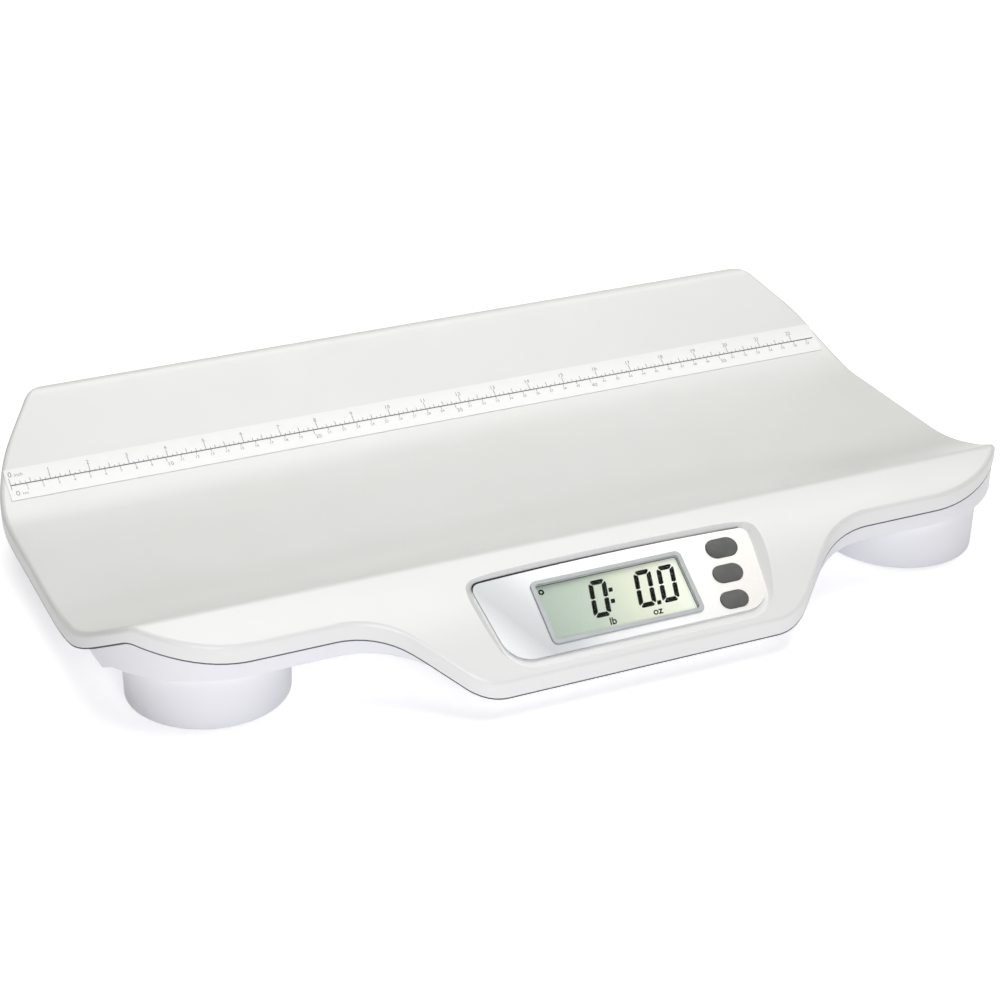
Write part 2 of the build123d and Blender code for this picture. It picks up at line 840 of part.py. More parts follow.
# ---- buttons ------------------------------------------------------------------------
for number, x, s, length, height in zip(
    (1, 2, 3), button_xs, button_ss, button_lengths, button_heights
):
    with BuildPart() as button:
        with BuildSketch(panel.offset(-pocket_depth - button_gap)):
            with Locations((x, s)):
                SlotOverall(length, height)
        extrude(amount=pocket_depth + button_gap + button_proud)
        crown_centre = panel.from_local_coords((x, s, button_proud - button_crown_radius))
        with BuildSketch(Plane(origin=crown_centre, z_dir=(1, 0, 0))):
            Circle(button_crown_radius)
        extrude(amount=length, both=True, mode=Mode.INTERSECT)
        cap = button.faces().sort_by(Axis(panel.origin, panel.z_dir))[-1]
        fillet(cap.edges(), button_round)
        with BuildSketch(panel.offset(-pocket_depth - button_gap)):
            with Locations((x, s)):
                SlotOverall(length + 2 * button_flange, height + 2 * button_flange)
        extrude(amount=-button_flange_thickness)
    button.part.label = f"button_{number}"
    export_step(button.part, f"parts/button_{number}.step")

# ---- feet ---------------------------------------------------------------------------
for name, (x, y) in zip(foot_names, feet):
    side = 1 if x < 0 else -1
    fixed_screws = [(x + side * cell_screw_inner_x, y), (x + side * cell_screw_outer_x, y)]
    free_screws = [(x - side * cell_screw_inner_x, y), (x - side * cell_screw_outer_x, y)]

    # bar load cell with two joined holes across it
    with BuildPart() as load_cell:
        with BuildSketch(Plane.XY.offset(cell_bottom_z)):
            with Locations((x, y)):
                Rectangle(cell_length, cell_width)
            with Locations(*fixed_screws, *free_screws):
                Circle(tapped_radius, mode=Mode.SUBTRACT)
        extrude(amount=cell_height)
        with BuildSketch(Plane.XZ.offset(-y)):
            with Locations((x, cell_bottom_z + cell_height / 2)):
                Rectangle(2 * cell_hole_x, cell_slot)
                with Locations((-cell_hole_x, 0), (cell_hole_x, 0)):
                    Circle(cell_hole_radius)
        extrude(amount=cell_width, both=True, mode=Mode.SUBTRACT)
    load_cell.part.label = f"load_cell_{name}"
    export_step(load_cell.part, f"parts/load_cell_{name}.step")

    # cup under the load cell's free end, holding the rubber foot
    with BuildPart() as foot_cup:
        with BuildSketch(Plane.XY.offset(cup_bottom_z)):
            with Locations((x, y)):
                Circle(cup_radius)
        extrude(amount=cup_top_z - cup_bottom_z)
        with BuildSketch(Plane.XY.offset(cup_bottom_z)):
            with Locations((x, y)):
                Circle(pad_radius + pad_clearance)
        extrude(amount=cup_floor_z - cup_bottom_z, mode=Mode.SUBTRACT)
        with BuildSketch(Plane.XY.offset(cup_floor_z + cup_floor_thickness)):
            with Locations((x, y)):
                Circle(cup_radius - cup_rim)
        extrude(amount=cup_top_z, mode=Mode.SUBTRACT)
        with BuildSketch(Plane.XY.offset(cup_floor_z)):
            with Locations((x - side * (cell_length - cell_seat_length) / 2, y)):
                Rectangle(cell_seat_length, cell_width)
        extrude(amount=cell_bottom_z - cup_floor_z)
        with BuildSketch(Plane.XY.offset(cup_floor_z)):
            with Locations(*free_screws):
                Circle(through_radius)
        extrude(amount=cell_bottom_z, mode=Mode.SUBTRACT)
        with BuildSketch(Plane.XY.offset(cup_floor_z)):
            with Locations(*free_screws):
                Circle(counterbore_radius)
        extrude(amount=screw_head_height, mode=Mode.SUBTRACT)
    foot_cup.part.label = f"foot_cup_{name}"
    export_step(foot_cup.part, f"parts/foot_cup_{name}.step")

    with BuildPart() as rubber_foot:
        with BuildSketch():
            with Locations((x, y)):
                Circle(pad_radius)
        extrude(amount=cup_floor_z)
        fillet(rubber_foot.faces().sort_by(Axis.Z)[0].edges(), pad_edge)
    rubber_foot.part.label = f"rubber_foot_{name}"
    export_step(rubber_foot.part, f"parts/rubber_foot_{name}.step")

    with BuildPart() as cell_screws:
        with BuildSketch(Plane.XY.offset(web_z + web_thickness)):
            with Locations(*fixed_screws):
                Circle(screw_head_radius)
        extrude(amount=screw_head_height)
        with BuildSketch(Plane.XY.offset(web_z + web_thickness)):
            with Locations(*fixed_screws):
                Circle(screw_radius)
        extrude(amount=-cell_screw_length)
        with BuildSketch(Plane.XY.offset(cup_floor_z)):
            with Locations(*free_screws):
                Circle(screw_head_radius)
        extrude(amount=screw_head_height)
        with BuildSketch(Plane.XY.offset(cup_floor_z + screw_head_height)):
            with Locations(*free_screws):
                Circle(screw_radius)
        extrude(amount=cup_screw_length)
    cell_screws.part.label = f"cell_screws_{name}"
    export_step(cell_screws.part, f"parts/cell_screws_{name}.step")

# ---- case screws --------------------------------------------------------------------
with BuildPart() as case_screws:
    for x, y, z in case_screws_at:
        with BuildSketch(Plane.XY.offset(z + counterbore_depth)):
            with Locations((x, y)):
                Circle(screw_head_radius)
        extrude(amount=-screw_head_height)
        with BuildSketch(Plane.XY.offset(z + counterbore_depth)):
            with Locations((x, y)):
                Circle(screw_radius)
        extrude(amount=case_hole_depth)

case_screws.part.label = "case_screws"
export_step(case_screws.part, "parts/case_screws.step")

# ---- battery door, cells and contacts -----------------------------------------------
with BuildPart() as battery_door:
    with BuildSketch(Plane.XY.offset(base_floor_z)):
        with Locations((0, bay_centre_y)):
            Rectangle(2 * (bay_half_width - door_clearance), bay_length - 2 * door_clearance)
    extrude(amount=door_thickness)
    with BuildSketch(Plane.XY.offset(base_floor_z)):
        with Locations((0, (bay_rear_y - hinge_offset + hinge_y) / 2)):
            Rectangle(2 * hinge_half_length, hinge_y - bay_rear_y + hinge_offset)
    extrude(amount=door_thickness)
    with BuildSketch(Plane.XY.offset(base_floor_z)):
        with Locations((0, bay_front_y - (tab_length - door_clearance) / 2 + door_clearance)):
            Rectangle(2 * tab_half_width, tab_length)
    extrude(amount=tab_thickness)
    with BuildSketch(Plane.YZ):
        with Locations((hinge_y, hinge_z)):
            Circle(hinge_radius)
    extrude(amount=hinge_half_length, both=True)
    with BuildSketch(Plane.YZ):
        with Locations((hinge_y, hinge_z)):
            Circle(pin_radius)
    extrude(amount=hinge_half_length + pin_length, both=True)

battery_door.part.label = "battery_door"
export_step(battery_door.part, "parts/battery_door.step")

battery_xs = [(n - (cell_count - 1) / 2) * battery_pitch for n in range(cell_count)]
with BuildPart() as battery_cells:
    with BuildSketch(Plane.XZ.offset(-bay_centre_y)):
        with Locations(*[(x, battery_z) for x in battery_xs]):
            Circle(battery_radius)
    extrude(amount=battery_length / 2, both=True)

battery_cells.part.label = "battery_cells"
export_step(battery_cells.part, "parts/battery_cells.step")

stud_height = (bay_length - battery_length) / 2 - contact_thickness - seat_gap
with BuildPart() as battery_contacts:
    for wall_y, inward in ((bay_front_y, 1), (bay_rear_y, -1)):
        with BuildSketch(Plane.XZ.offset(-wall_y)):
            with Locations(*[(x, battery_z) for x in battery_xs]):
                Rectangle(contact_width, contact_height)
        extrude(amount=-inward * contact_thickness)
        with BuildSketch(Plane.XZ.offset(-wall_y - inward * contact_thickness)):
            with Locations(*[(x, battery_z) for x in battery_xs]):
                Circle(contact_stud_radius)
        extrude(amount=-inward * stud_height)

battery_contacts.part.label = "battery_contacts"
export_step(battery_contacts.part, "parts/battery_contacts.step")

# ---- leads --------------------------------------------------------------------------
# Each runs from its load cell over the turret, along the base and up to the connector.
lead_z = base_floor_z + base_wall + lead_radius + lead_run_gap
with BuildPart() as load_cell_leads:
    for side in (-1, 1):
        for run_y, run_x, turn_y, order in (
            (lead_front_y, lead_front_x, lead_turn_y - lead_pitch, outer_pin),
            (lead_back_y, lead_back_x, lead_turn_y, inner_pin),
        ):
            hole_x = side * (foot_x - lead_hole_offset)
            pin_x = connector_x + side * order * pin_pitch
            with BuildLine() as lead_path:
                FilletPolyline(
                    (hole_x, run_y, lead_start_z),
                    (hole_x, run_y, lead_over_z),
                    (side * lead_drop_x, run_y, lead_over_z),
                    (side * lead_drop_x, run_y, lead_z),
                    (side * run_x, run_y, lead_z),
                    (side * run_x, turn_y, lead_z),
                    (pin_x, turn_y, lead_z),
                    (pin_x, lead_end_y, lead_end_z),
                    radius=lead_bend,
                )
            with BuildSketch(Plane((hole_x, run_y, lead_start_z), z_dir=(0, 0, 1))):
                Circle(lead_radius)
            sweep(path=lead_path.wire())

load_cell_leads.part.label = "load_cell_leads"
export_step(load_cell_leads.part, "parts/load_cell_leads.step")

# Plus and minus lead: through the front wall of the battery bay and up to the board.
for name, x in (("minus", -battery_lead_x), ("plus", battery_lead_x)):
    board_point = panel.from_local_coords((x, battery_lead_s, -board_depth - board_thickness))
    with BuildPart() as battery_lead:
        with BuildLine() as lead_path:
            FilletPolyline(
                (x, bay_front_y, battery_z + battery_lead_lift),
                (x, board_point.Y, battery_z + battery_lead_lift),
                (x, board_point.Y, board_point.Z - battery_lead_tip_gap),
                radius=lead_bend,
            )
        with BuildSketch(Plane.XZ.offset(-bay_front_y)):
            with Locations((x, battery_z + battery_lead_lift)):
                Circle(lead_radius)
        sweep(path=lead_path.wire())
    battery_lead.part.label = f"battery_lead_{name}"
    export_step(battery_lead.part, f"parts/battery_lead_{name}.step")
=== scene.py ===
import math

import bmesh
import bpy
from mathutils import Matrix, Vector
from mathutils.bvhtree import BVHTree


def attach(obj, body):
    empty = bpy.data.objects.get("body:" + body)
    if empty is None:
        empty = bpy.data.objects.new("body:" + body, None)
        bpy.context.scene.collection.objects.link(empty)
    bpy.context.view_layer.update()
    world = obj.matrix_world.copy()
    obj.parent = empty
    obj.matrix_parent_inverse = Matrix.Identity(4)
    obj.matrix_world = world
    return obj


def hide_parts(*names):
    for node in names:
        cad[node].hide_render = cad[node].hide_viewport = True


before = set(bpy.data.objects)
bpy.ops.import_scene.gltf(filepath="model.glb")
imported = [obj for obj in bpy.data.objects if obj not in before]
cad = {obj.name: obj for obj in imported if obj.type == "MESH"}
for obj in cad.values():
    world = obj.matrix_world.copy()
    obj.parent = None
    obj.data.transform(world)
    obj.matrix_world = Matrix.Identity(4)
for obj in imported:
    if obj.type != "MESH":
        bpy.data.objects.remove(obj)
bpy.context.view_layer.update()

# ---- tray ---------------------------------------------------------------------------
# The cradle is one injection-moulded ABS shell. It is bare plastic with a satin surface:
# the mould was finely spark eroded, so light spreads a little and no weave or grain shows.
MM = 0.001                 # one millimetre in metres
TRAY_WHITE = "EDEEEC"
TRAY_SHADE = "E8E9E6"
ABS_IOR = 1.54
SATIN_ROUGHNESS = (0.30, 0.40)
SPARK_PITCH = 0.9          # mm; the real 0.1 mm pits are too fine to show, so they are coarser
SPARK_HEIGHT = 0.004       # mm
FLOW_SIZE = 90.0           # mm, slow change of tone from how the melt ran
WIPE_SIZE = 26.0           # mm, patches left by wiping
WIPE_SPREAD = (0.3, 0.7)   # the part of the pattern over which the gloss changes


def linear(colour):
    """RGBA in linear light from a six-digit sRGB hex colour."""
    parts = [int(colour[i:i + 2], 16) / 255 for i in (0, 2, 4)]
    return [c / 12.92 if c <= 0.04045 else ((c + 0.055) / 1.055) ** 2.4 for c in parts] + [1.0]


def add_node(tree, kind, settings, links=None):
    """Adds a node with its settings, and links given sockets of other nodes to its inputs."""
    node = tree.nodes.new(kind)
    for key, value in settings.items():
        if isinstance(key, str) and key not in node.inputs:
            setattr(node, key, value)
        else:
            node.inputs[key].default_value = value
    for key, socket in (links or {}).items():
        tree.links.new(socket, node.inputs[key])
    return node


def new_material(name):
    """An empty material: itself, its tree of nodes, and the place on the piece."""
    material = bpy.data.materials.new(name)
    material.use_nodes = True
    tree = material.node_tree
    tree.nodes.clear()
    return material, tree, add_node(tree, "ShaderNodeTexCoord", {}).outputs["Object"]


def finish(material, shader):
    """Joins a shader to the material's output, and gives the material back."""
    add_node(material.node_tree, "ShaderNodeOutputMaterial", {}, {"Surface": shader.outputs[0]})
    return material


def dress(piece, material):
    """Puts one material in every slot of a piece."""
    piece.data.materials.clear()
    piece.data.materials.append(material)


def satin_abs(name, light, shade):
    """Satin moulded ABS: near white, slow drift of tone, wiped patches, fine pitted bump."""
    material, tree, place = new_material(name)
    flow = add_node(tree, "ShaderNodeTexNoise", {"Scale": 1 / (FLOW_SIZE * MM), "Detail": 2.0},
                    {"Vector": place})
    wipes = add_node(tree, "ShaderNodeTexNoise", {"Scale": 1 / (WIPE_SIZE * MM), "Detail": 5.0,
                                                  "Roughness": 0.6}, {"Vector": place})
    pits = add_node(tree, "ShaderNodeTexNoise", {"Scale": 1 / (SPARK_PITCH * MM), "Detail": 2.0},
                    {"Vector": place})
    tone = add_node(tree, "ShaderNodeMix", {"data_type": "RGBA", 6: linear(light),
                                            7: linear(shade)}, {0: flow.outputs["Fac"]})
    gloss = add_node(tree, "ShaderNodeMapRange",
                     {"From Min": WIPE_SPREAD[0], "From Max": WIPE_SPREAD[1],
                      "To Min": SATIN_ROUGHNESS[0], "To Max": SATIN_ROUGHNESS[1]},
                     {"Value": wipes.outputs["Fac"]})
    bump = add_node(tree, "ShaderNodeBump", {"Strength": 0.5, "Distance": SPARK_HEIGHT * MM},
                    {"Height": pits.outputs["Fac"]})
    shader = add_node(tree, "ShaderNodeBsdfPrincipled", {"IOR": ABS_IOR},
                      {"Base Color": tone.outputs[2], "Roughness": gloss.outputs["Result"],
                       "Normal": bump.outputs["Normal"]})
    return finish(material, shader)


dress(cad["tray_shell"], satin_abs("satin ABS of the tray", TRAY_WHITE, TRAY_SHADE))

# ---- base and battery door ----------------------------------------------------------
# The base is a second ABS moulding with the same surface, and its foot sleeves are in one
# piece with it. Its plastic is a touch cooler, and the door is moulded from the same.
BASE_WHITE = "EEEFF1"
BASE_SHADE = "E9EAEE"

base_abs = satin_abs("satin ABS of the base", BASE_WHITE, BASE_SHADE)
dress(cad["base_shell"], base_abs)
dress(cad["battery_door"], base_abs)

# ---- length strip -------------------------------------------------------------------
# A white polyester film stuck into the curve of the back wall, printed with one grey line:
# inches stand above it, centimetres hang below. The print is a thin even coat of ink.
STRIP_WHITE = "FBFBFA"
STRIP_SHADE = "F4F5F4"
STRIP_ROUGHNESS = (0.34, 0.46)
MOTTLE_SIZE = 6.0          # mm, faint mottle of the film's coat
MOTTLE_HEIGHT = 0.01       # mm
INK_GREY = "85878B"
LINE_GREY = "585A5E"
INK_GRAIN = 0.8            # mm; a screen's 0.1 mm mesh is too fine to show, so it is coarser
INK_THIN = 1.35            # how much lighter the ink is where it lies thin
INK_THICKNESS = 0.03       # mm
STRIP_HALF = 287.9         # mm, from the middle to either end of the long line
STRIP_ZERO = -STRIP_HALF   # mm, where both scales begin
LINE_WIDTH = 0.75          # mm
LINE_THICKNESS = 0.045     # mm
TICK_WIDTH = 0.38          # mm
INCH = 25.4                # mm
INCHES = 22
INCH_TICKS = {8: 5.4, 4: 3.7, 2: 2.5, 1: 1.6}     # eighths of an inch to a tick's height, mm
CENTIMETRE = 10.0          # mm
CENTIMETRES = 57
CENTIMETRE_TICK = 2.3      # mm
TEN_TICK = 3.4             # mm
INCH_NUMERAL = 2.8         # mm high
INCH_NUMERAL_GAP = 0.3     # mm over the tick
CENTIMETRE_NUMERAL = 2.1   # mm high
CENTIMETRE_NUMERAL_GAP = 0.4    # mm under the tick
TEN_NUMERAL = 3.0          # mm high
TEN_NUMERAL_SHIFT = 1.8    # mm to the right of its tick
ZERO_NUMERAL = 3.8         # mm high
UNIT_WORD = 2.4            # mm high
UNIT_WORD_SHIFT = 2.6      # mm from the middle of the zero beside it
UNIT_PLACES = (("inch", 1.2, 6.0), ("cm", 3.0, -8.2))   # zero's foot from the line's end, mm
CAPITAL_SHARE = 0.73       # height of a capital as a share of the size of the letters
WALL_FOOT_Y = 102.2        # mm, where the slopes of floor and back wall would meet
WALL_FLOOR_Z = 34.0        # mm, level of the tray's floor
WALL_SLOPE = math.radians(38.0)
WALL_ARC_RADIUS = 80.0     # mm, arc between floor and back wall
WALL_ARC_Y = WALL_FOOT_Y - WALL_ARC_RADIUS * math.tan(WALL_SLOPE / 2)
LINE_ANGLE = math.radians(31.3)     # how far up the arc the long line lies
PROBE = 5.0                # mm over the wall, where the search for the film's face starts

film = cad["ruler_strip"]
film_faces = BVHTree.FromPolygons([film.matrix_world @ v.co for v in film.data.vertices],
                                  [list(p.vertices) for p in film.data.polygons])


def on_strip(x, t, lift):
    """Place in metres on the film: x mm along it, t mm up from the long line, lift mm off it."""
    angle = min(LINE_ANGLE + t / WALL_ARC_RADIUS, WALL_SLOPE)
    straight = t - (angle - LINE_ANGLE) * WALL_ARC_RADIUS
    along = Vector((0, math.cos(angle), math.sin(angle)))
    out = Vector((0, -math.sin(angle), math.cos(angle)))
    centre = Vector((x, WALL_ARC_Y, WALL_FLOOR_Z + WALL_ARC_RADIUS))
    above = (centre + along * straight - out * (WALL_ARC_RADIUS - PROBE)) * MM
    return film_faces.ray_cast(above, -out)[0] + out * (lift * MM)


def add_mesh(name, build, body):
    """Makes a mesh object from a bmesh that build fills, and ties it to a body and a slot."""
    shape = bmesh.new()
    build(shape)
    bmesh.ops.recalc_face_normals(shape, faces=shape.faces)
    mesh = bpy.data.meshes.new(name)
    shape.to_mesh(mesh)
    shape.free()
    piece = bpy.data.objects.new(name, mesh)
    bpy.context.scene.collection.objects.link(piece)
    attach(piece, body)
    return piece


def box_outline(left, right, bottom, top):
    """Four corners of a rectangle."""
    return [(left, bottom), (right, bottom), (right, top), (left, top)]


def add_prism(shape, outline, low, high, place):
    """Closed prism over an outline of (x, y) pairs from height low to high, put by place."""
    bottom = [shape.verts.new(place(x, y, low)) for x, y in outline]
    top = [shape.verts.new(place(x, y, high)) for x, y in outline]
    shape.faces.new(bottom[::-1])
    shape.faces.new(top)
    for i, vertex in enumerate(bottom):
        j = (i + 1) % len(bottom)
        shape.faces.new((vertex, bottom[j], top[j], top[i]))


def add_words(shape, words, height, x, y, low, high, place, slant=0.0, align="CENTER",
              bold=0.0):
    """Closed raised letters or numerals, height mm high, with their foot at (x, y)."""
    text = bpy.data.curves.new("words", "FONT")
    text.body = words
    text.size = height / CAPITAL_SHARE
    text.align_x = align
    text.resolution_u = 3
    text.extrude = 0.5     # any depth will do, because both faces are put at their own level
    text.offset = bold
    holder = bpy.data.objects.new("words", text)
    bpy.context.scene.collection.objects.link(holder)
    flat = bpy.data.meshes.new_from_object(holder)
    bpy.data.objects.remove(holder)
    corners = []
    for vertex in flat.vertices:
        across = x + vertex.co.x + vertex.co.y * slant
        level = high if vertex.co.z > 0 else low
        corners.append(shape.verts.new(place(across, y + vertex.co.y, level)))
    for face in flat.polygons:
        if len(set(face.vertices)) > 2:
            shape.faces.new([corners[i] for i in face.vertices])
    bpy.data.meshes.remove(flat)


def print_tick(shape, x, foot, top):
    """One tick of the strip at x, from foot to top."""
    add_prism(shape, box_outline(x - TICK_WIDTH / 2, x + TICK_WIDTH / 2, foot, top),
              0, INK_THICKNESS, on_strip)


def draw_ticks(shape):
    """Inch ticks above the long line and centimetre ticks below it."""
    for eighth in range(INCHES * 8 + 1):
        height = next(tall for step, tall in INCH_TICKS.items() if eighth % step == 0)
        print_tick(shape, STRIP_ZERO + eighth * INCH / 8, 0, height)
    for centimetre in range(CENTIMETRES + 1):
        depth = TEN_TICK if centimetre % 10 == 0 else CENTIMETRE_TICK
        print_tick(shape, STRIP_ZERO + centimetre * CENTIMETRE, -depth, 0)


def print_words(shape, words, height, x, y, align="CENTER"):
    """Words or a numeral in ink on the strip."""
    add_words(shape, words, height, x, y, 0, INK_THICKNESS, on_strip, align=align)


def draw_numerals(shape):
    """Inch numerals above their ticks, centimetre numerals below theirs, units at zero."""
    for inch in range(1, INCHES + 1):
        print_words(shape, str(inch), INCH_NUMERAL, STRIP_ZERO + inch * INCH,
                    INCH_TICKS[8] + INCH_NUMERAL_GAP)
    for centimetre in range(1, CENTIMETRES + 1):
        x = STRIP_ZERO + centimetre * CENTIMETRE
        if centimetre % 10 == 0:
            print_words(shape, str(centimetre), TEN_NUMERAL, x + TEN_NUMERAL_SHIFT,
                        -TEN_TICK - CENTIMETRE_NUMERAL_GAP - TEN_NUMERAL)
        else:
            print_words(shape, str(centimetre), CENTIMETRE_NUMERAL, x,
                        -CENTIMETRE_TICK - CENTIMETRE_NUMERAL_GAP - CENTIMETRE_NUMERAL)
    for word, shift, foot in UNIT_PLACES:
        x = STRIP_ZERO + shift
        print_words(shape, "0", ZERO_NUMERAL, x, foot)
        print_words(shape, word, UNIT_WORD, x + UNIT_WORD_SHIFT, foot, align="LEFT")


def draw_line(shape):
    """The long line between the two scales, one bar along the film."""
    add_prism(shape, box_outline(STRIP_ZERO, STRIP_HALF, -LINE_WIDTH / 2, LINE_WIDTH / 2),
              0, LINE_THICKNESS, on_strip)


def screen_ink(name, colour):
    """Screen ink on film: flat matt grey with slightly uneven cover."""
    material, tree, place = new_material(name)
    cover = add_node(tree, "ShaderNodeTexNoise", {"Scale": 1 / (INK_GRAIN * MM), "Detail": 3.0},
                     {"Vector": place})
    dark = linear(colour)
    thin = [c * INK_THIN for c in dark[:3]] + [1.0]
    tone = add_node(tree, "ShaderNodeMix", {"data_type": "RGBA", 6: dark, 7: thin},
                    {0: cover.outputs["Fac"]})
    shader = add_node(tree, "ShaderNodeBsdfPrincipled", {"Roughness": 0.55, "IOR": 1.5},
                      {"Base Color": tone.outputs[2]})
    return finish(material, shader)


def strip_film():
    """Printed polyester film: whiter than the wall, matt-coated, very slightly mottled."""
    material, tree, place = new_material("matt polyester film")
    mottle = add_node(tree, "ShaderNodeTexNoise",
                      {"Scale": 1 / (MOTTLE_SIZE * MM), "Detail": 4.0}, {"Vector": place})
    tone = add_node(tree, "ShaderNodeMix", {"data_type": "RGBA", 6: linear(STRIP_WHITE),
                                            7: linear(STRIP_SHADE)}, {0: mottle.outputs["Fac"]})
    gloss = add_node(tree, "ShaderNodeMapRange",
                     {"To Min": STRIP_ROUGHNESS[0], "To Max": STRIP_ROUGHNESS[1]},
                     {"Value": mottle.outputs["Fac"]})
    bump = add_node(tree, "ShaderNodeBump", {"Strength": 0.3, "Distance": MOTTLE_HEIGHT * MM},
                    {"Height": mottle.outputs["Fac"]})
    shader = add_node(tree, "ShaderNodeBsdfPrincipled", {"IOR": 1.5},
                      {"Base Color": tone.outputs[2], "Roughness": gloss.outputs["Result"],
                       "Normal": bump.outputs["Normal"]})
    return finish(material, shader)


dress(film, strip_film())
strip_ink = screen_ink("grey screen ink", INK_GREY)
dress(add_mesh("strip_ticks", draw_ticks, "scale"), strip_ink)
dress(add_mesh("strip_numerals", draw_numerals, "scale"), strip_ink)
dress(add_mesh("strip_line", draw_line, "scale"),
      screen_ink("dark grey screen ink", LINE_GREY))

# ---- skirt gap shadow ---------------------------------------------------------------
# A dark strip lies in the narrow gap between the tray's skirt and the base. It is painted
# shade: it shows the shadow in the gap as a dark line under the skirt's edge.
SKIRT_GAP_SHADOW_GREY = "55565B"
SKIRT_GAP_SHADOW_PALE = "606167"
FOAM_ROUGHNESS = 0.8
FOAM_CELL = 0.4            # mm
GAP_SHADOW_INSET = 0.12          # mm behind the skirt's face
GAP_SHADOW_DEPTH = 0.65          # mm into the gap
GAP_SHADOW_TOP = -0.03           # mm, just under the edge
GAP_SHADOW_FOOT = -0.95          # mm
RIM_RISE = 0.2             # mm that the skirt's rim rises over the strip's depth
RIM_FACES_DOWN = -0.5      # a normal's rise below which a face belongs to the rim
SKIRT_FACES_SIDE = 0.35    # a normal's rise, up or down, within which it belongs to the skirt
SKIRT_FACES_OUT = 0.2      # how far a skirt's face has to look away from the middle
JOIN_DISTANCE = 0.001      # mm within which corners of neighbouring faces are one
RUB_SIZE = 9.0             # mm, patches that are rubbed paler
RUB_SPREAD = (0.42, 0.7)   # the part of the pattern over which the colour changes
RUB_GLOSS = (-0.06, 0.08)  # how far the roughness strays with the rubbing
PIT_DEPTH = 0.02           # mm; real pits are 0.1 mm apart, drawn coarser so that they show


def find_rim(rim):
    """Edges round the foot of the skirt's outer face, and each corner's way out."""
    tree = BVHTree.FromBMesh(rim)
    stretches, ways = [], {}
    for edge in rim.edges:
        if len(edge.link_faces) != 2:
            continue
        centre = (edge.verts[0].co + edge.verts[1].co) / 2
        outward = Vector((centre.x, centre.y, 0)).normalized()
        for under, side in (tuple(edge.link_faces), tuple(edge.link_faces)[::-1]):
            if (under.normal.z < RIM_FACES_DOWN and abs(side.normal.z) < SKIRT_FACES_SIDE
                    and side.normal.dot(outward) > SKIRT_FACES_OUT
                    and tree.ray_cast(centre + side.normal * MM, side.normal)[0] is None):
                stretches.append(edge)
                level_way = Vector((side.normal.x, side.normal.y, 0)).normalized()
                for vertex in edge.verts:
                    ways[vertex] = ways.get(vertex, Vector((0, 0, 0))) + level_way
    return stretches, ways


def draw_seal(shape):
    """A closed dark bar of painted shade under each stretch of the skirt's edge; neighbours
    share their ends.
    """
    tray = cad["tray_shell"]
    rim = bmesh.new()
    rim.from_mesh(tray.data)
    rim.transform(tray.matrix_world)
    bmesh.ops.remove_doubles(rim, verts=rim.verts, dist=JOIN_DISTANCE * MM)
    rim.normal_update()
    stretches, ways = find_rim(rim)
    back = -GAP_SHADOW_INSET - GAP_SHADOW_DEPTH
    section = [(-GAP_SHADOW_INSET, GAP_SHADOW_TOP), (-GAP_SHADOW_INSET, GAP_SHADOW_FOOT), (back, GAP_SHADOW_FOOT),
               (back, RIM_RISE)]
    for edge in stretches:
        near, far = [[shape.verts.new(vertex.co + (ways[vertex].normalized() * out
                                                   + Vector((0, 0, up))) * MM)
                      for out, up in section] for vertex in edge.verts]
        shape.faces.new(near[::-1])
        shape.faces.new(far)
        for i in range(len(section)):
            j = (i + 1) % len(section)
            shape.faces.new((near[i], near[j], far[j], far[i]))
    rim.free()


def plain_moulding(name, colour, worn, roughness, pitch):
    """One-coloured plastic, rubber or foam: fine pits, rubbed a little paler in patches."""
    material, tree, place = new_material(name)
    rub = add_node(tree, "ShaderNodeTexNoise", {"Scale": 1 / (RUB_SIZE * MM), "Detail": 6.0,
                                                "Roughness": 0.65}, {"Vector": place})
    pits = add_node(tree, "ShaderNodeTexNoise", {"Scale": 1 / (pitch * MM), "Detail": 3.0},
                    {"Vector": place})
    patches = add_node(tree, "ShaderNodeMapRange",
                       {"From Min": RUB_SPREAD[0], "From Max": RUB_SPREAD[1]},
                       {"Value": rub.outputs["Fac"]})
    tone = add_node(tree, "ShaderNodeMix", {"data_type": "RGBA", 6: linear(colour),
                                            7: linear(worn)}, {0: patches.outputs["Result"]})
    gloss = add_node(tree, "ShaderNodeMapRange",
                     {"To Min": roughness + RUB_GLOSS[0], "To Max": roughness + RUB_GLOSS[1]},
                     {"Value": rub.outputs["Fac"]})
    bump = add_node(tree, "ShaderNodeBump", {"Strength": 0.6, "Distance": PIT_DEPTH * MM},
                    {"Height": pits.outputs["Fac"]})
    shader = add_node(tree, "ShaderNodeBsdfPrincipled", {"IOR": 1.5},
                      {"Base Color": tone.outputs[2], "Roughness": gloss.outputs["Result"],
                       "Normal": bump.outputs["Normal"]})
    return finish(material, shader)


# Painted shade: the strip's dark grey stands for the shadow in the gap under the skirt.
dress(add_mesh("skirt_gap_shadow", draw_seal, "scale"),
      plain_moulding("painted gap shadow", SKIRT_GAP_SHADOW_GREY, SKIRT_GAP_SHADOW_PALE, FOAM_ROUGHNESS, FOAM_CELL))

# ---- faceplate ----------------------------------------------------------------------
# A polycarbonate plate printed silver on its back and hard-coated, lying in a recess of
# the tray. The silver is a fine flake. Its tone, cooler and darker at the left and nearly
# white at the right, is a painted reflection.
PANEL_ORIGIN = Vector((0, -150.45, 42.0)) * MM      # a place on the panel, at its middle
PANEL_TILT = math.radians(32.0)
PANEL_UP = Vector((0, math.cos(PANEL_TILT), math.sin(PANEL_TILT)))
PANEL_OUT = Vector((0, -math.sin(PANEL_TILT), math.cos(PANEL_TILT)))
